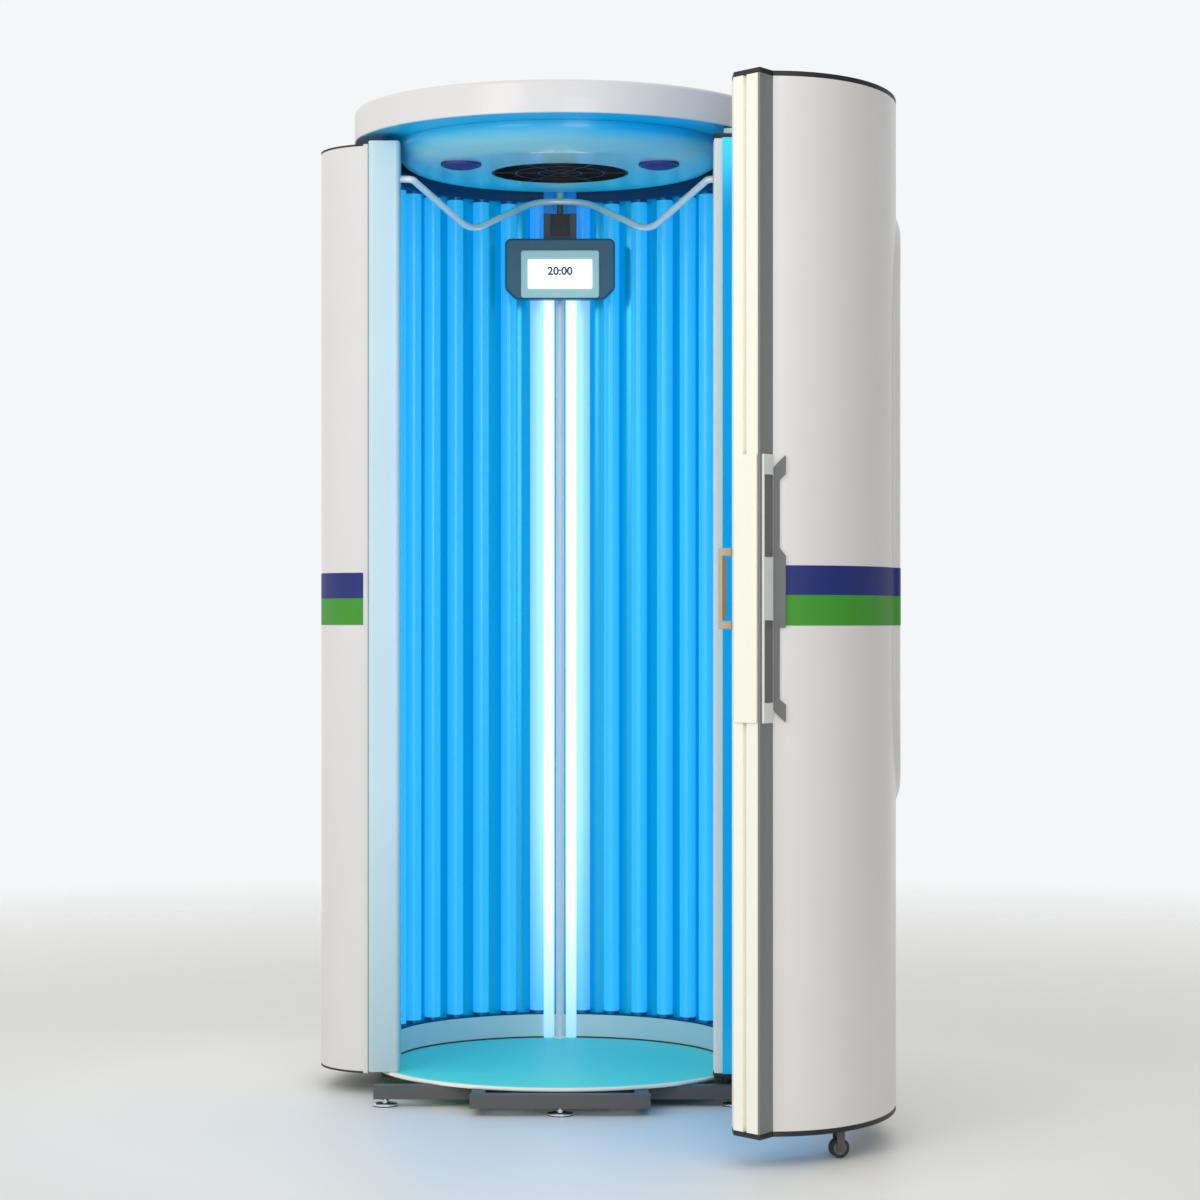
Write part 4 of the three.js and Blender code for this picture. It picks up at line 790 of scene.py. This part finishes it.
# Roller, hinges and hidden pieces
wheel = dict(radius=19.5 * mm, half=11 * mm, edge=2.6 * mm, roundShare=0.3, hub=13.5 * mm, hubEdge=0.6 * mm,
             recess=1.6 * mm, bore=4.3 * mm, boss=7.3 * mm, bossFoot=8.3 * mm, sides=48)
rollerJoint = next(j for j in frame["joints"] if j["name"] == "roller_spin")
tread, half, edge = wheel["radius"], wheel["half"], wheel["edge"]
hub, hubEdge, bore = wheel["hub"], wheel["hubEdge"], wheel["bore"]
boss, bossFoot, dip = wheel["boss"], wheel["bossFoot"], half - wheel["recess"]
shoulder = edge * wheel["roundShare"]
bm = bmesh.new()
addLathe(bm, [(hub, -half + hubEdge), (hub + hubEdge, -half), (tread - edge, -half),
              (tread - shoulder, -half + shoulder), (tread, -half + edge), (tread, half - edge),
              (tread - shoulder, half - shoulder), (tread - edge, half), (hub + hubEdge, half),
              (hub, half - hubEdge)], (0, 0), wheel["sides"], closed=True)
addLathe(bm, [(bore, -half), (boss, -half), (bossFoot, -dip), (hub, -dip), (hub, dip), (bossFoot, dip),
              (boss, half), (bore, half)], (0, 0), wheel["sides"], closed=True, index=1)
rollerLow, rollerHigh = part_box("door_roller")
aim = Vector((0, 0, 1)).rotation_difference(Vector(rollerJoint["axis"])).to_matrix().to_4x4()
aim.translation = (rollerLow + rollerHigh) / 2
bmesh.ops.transform(bm, matrix=aim, verts=bm.verts)
settle(piece("door_roller_wheel", bm, ["rubberTread", "mouldedHubGrey"], smooth=40), "roller",
       ["door_roller"])
dress("roller_fork", "paintedSteelDark", "door", bevel=0.8 * mm)
dress("hinge_bracket_lower", "powderCoatBlack", "cabin", bevel=1.5 * mm)
dress("hinge_bracket_upper", "postLacquerPaintedLight", "cabin", bevel=1.5 * mm)
dress("mains_inlet", "mouldedBlack", "cabin", bevel=0.8 * mm)
for node, finishName in (("floor_plate", "powderCoatBlack"), ("roof_plate", "powderCoatBlack"),
                         ("fan_duct", "powderCoatBlack"), ("stud_left", "paintedSteelDark"),
                         ("stud_right", "paintedSteelDark"), ("ballast_tray_left", "galvanisedSteel"),
                         ("ballast_tray_right", "galvanisedSteel")):
    slots = nodes[node].data.materials
    slots.clear()
    slots.append(materials[finishName])
print("small pieces done")

# Studio: pale floor, soft light from the front left, pale surroundings
studio = dict(floor="#E9E7E2", floorRough=0.45, floorHalf=20, floorLow=-0.02, floorTop=-0.0005, floorNear=1.2,
              floorFar=6.0, sky="#FAFCFD", shade="#85878A", skyPower=0.95, shadeStart=0.4, shadeEnd=0.9)
wide = studio["floorHalf"]
bm = bmesh.new()
addPrism(bm, [(-wide, -wide), (wide, -wide), (wide, wide), (-wide, wide)],
         studio["floorLow"], studio["floorTop"])
floorMaterial = bpy.data.materials.new("paintedStudioFloor")
floorMaterial.use_nodes = True
floorTree = floorMaterial.node_tree
floorShader = floorTree.nodes["Principled BSDF"]
floorShader.inputs["Base Color"].default_value = linear(studio["floor"])
floorShader.inputs["Roughness"].default_value = studio["floorRough"]
# The floor runs out softly into the surroundings, as a studio sweep does.
floorPlace = addNode(floorTree, "ShaderNodeTexCoord")
fromMiddle = addNode(floorTree, "ShaderNodeVectorMath", {"operation": "LENGTH"},
                     {"Vector": floorPlace.outputs["Object"]})
runOut = addNode(floorTree, "ShaderNodeMapRange",
                 {"From Min": studio["floorNear"], "From Max": studio["floorFar"]},
                 {"Value": fromMiddle.outputs["Value"]})
clear = addNode(floorTree, "ShaderNodeBsdfTransparent")
blend = addNode(floorTree, "ShaderNodeMixShader", None, {"Fac": runOut.outputs["Result"]})
floorTree.links.new(floorShader.outputs["BSDF"], blend.inputs[1])
floorTree.links.new(clear.outputs["BSDF"], blend.inputs[2])
floorTree.links.new(blend.outputs["Shader"], floorTree.nodes["Material Output"].inputs["Surface"])
floorMesh = bpy.data.meshes.new("studio_floor")
bm.to_mesh(floorMesh)
bm.free()
floorMesh.materials.append(floorMaterial)
floor = bpy.data.objects.new("studio_floor", floorMesh)
bpy.context.scene.collection.objects.link(floor)

# White surroundings that fall off to the right, so that the door's far side turns grey
world = bpy.data.worlds.new("studio")
world.use_nodes = True
sky = world.node_tree
sky.nodes["Background"].inputs["Strength"].default_value = studio["skyPower"]
around = addNode(sky, "ShaderNodeTexCoord")
sideways = addNode(sky, "ShaderNodeSeparateXYZ", None, {"Vector": around.outputs["Generated"]})
falloff = addNode(sky, "ShaderNodeMapRange", {"From Min": studio["shadeStart"], "From Max": studio["shadeEnd"]},
                  {"Value": sideways.outputs["X"]})
tint = addNode(sky, "ShaderNodeMix", {"data_type": "RGBA"}, {"Factor": falloff.outputs["Result"]})
tint.inputs[mixFrom].default_value = linear(studio["sky"])
tint.inputs[mixTo].default_value = linear(studio["shade"])
sky.links.new(tint.outputs[mixResult], sky.nodes["Background"].inputs["Color"])
bpy.context.scene.world = world

keyLight = dict(place=(-3.2, -5.0, 3.4), target=(0.2, 0, 1.1), size=(2.4, 3.0), power=62)
fillLight = dict(place=(1.2, -6.5, 2.2), target=(0, 0, 1.2), size=(2.0, 3.0), power=60)


def softbox(name, light):
    data = bpy.data.lights.new(name, "AREA")
    data.shape = "RECTANGLE"
    data.size, data.size_y = light["size"]
    data.energy = light["power"]
    obj = bpy.data.objects.new(name, data)
    obj.location = light["place"]
    towards = Vector(light["target"]) - Vector(light["place"])
    obj.rotation_euler = towards.to_track_quat("-Z", "Y").to_euler()
    bpy.context.scene.collection.objects.link(obj)


softbox("keyLight", keyLight)
softbox("fillLight", fillLight)
bpy.context.scene.view_settings.view_transform = "Standard"
print("studio done")
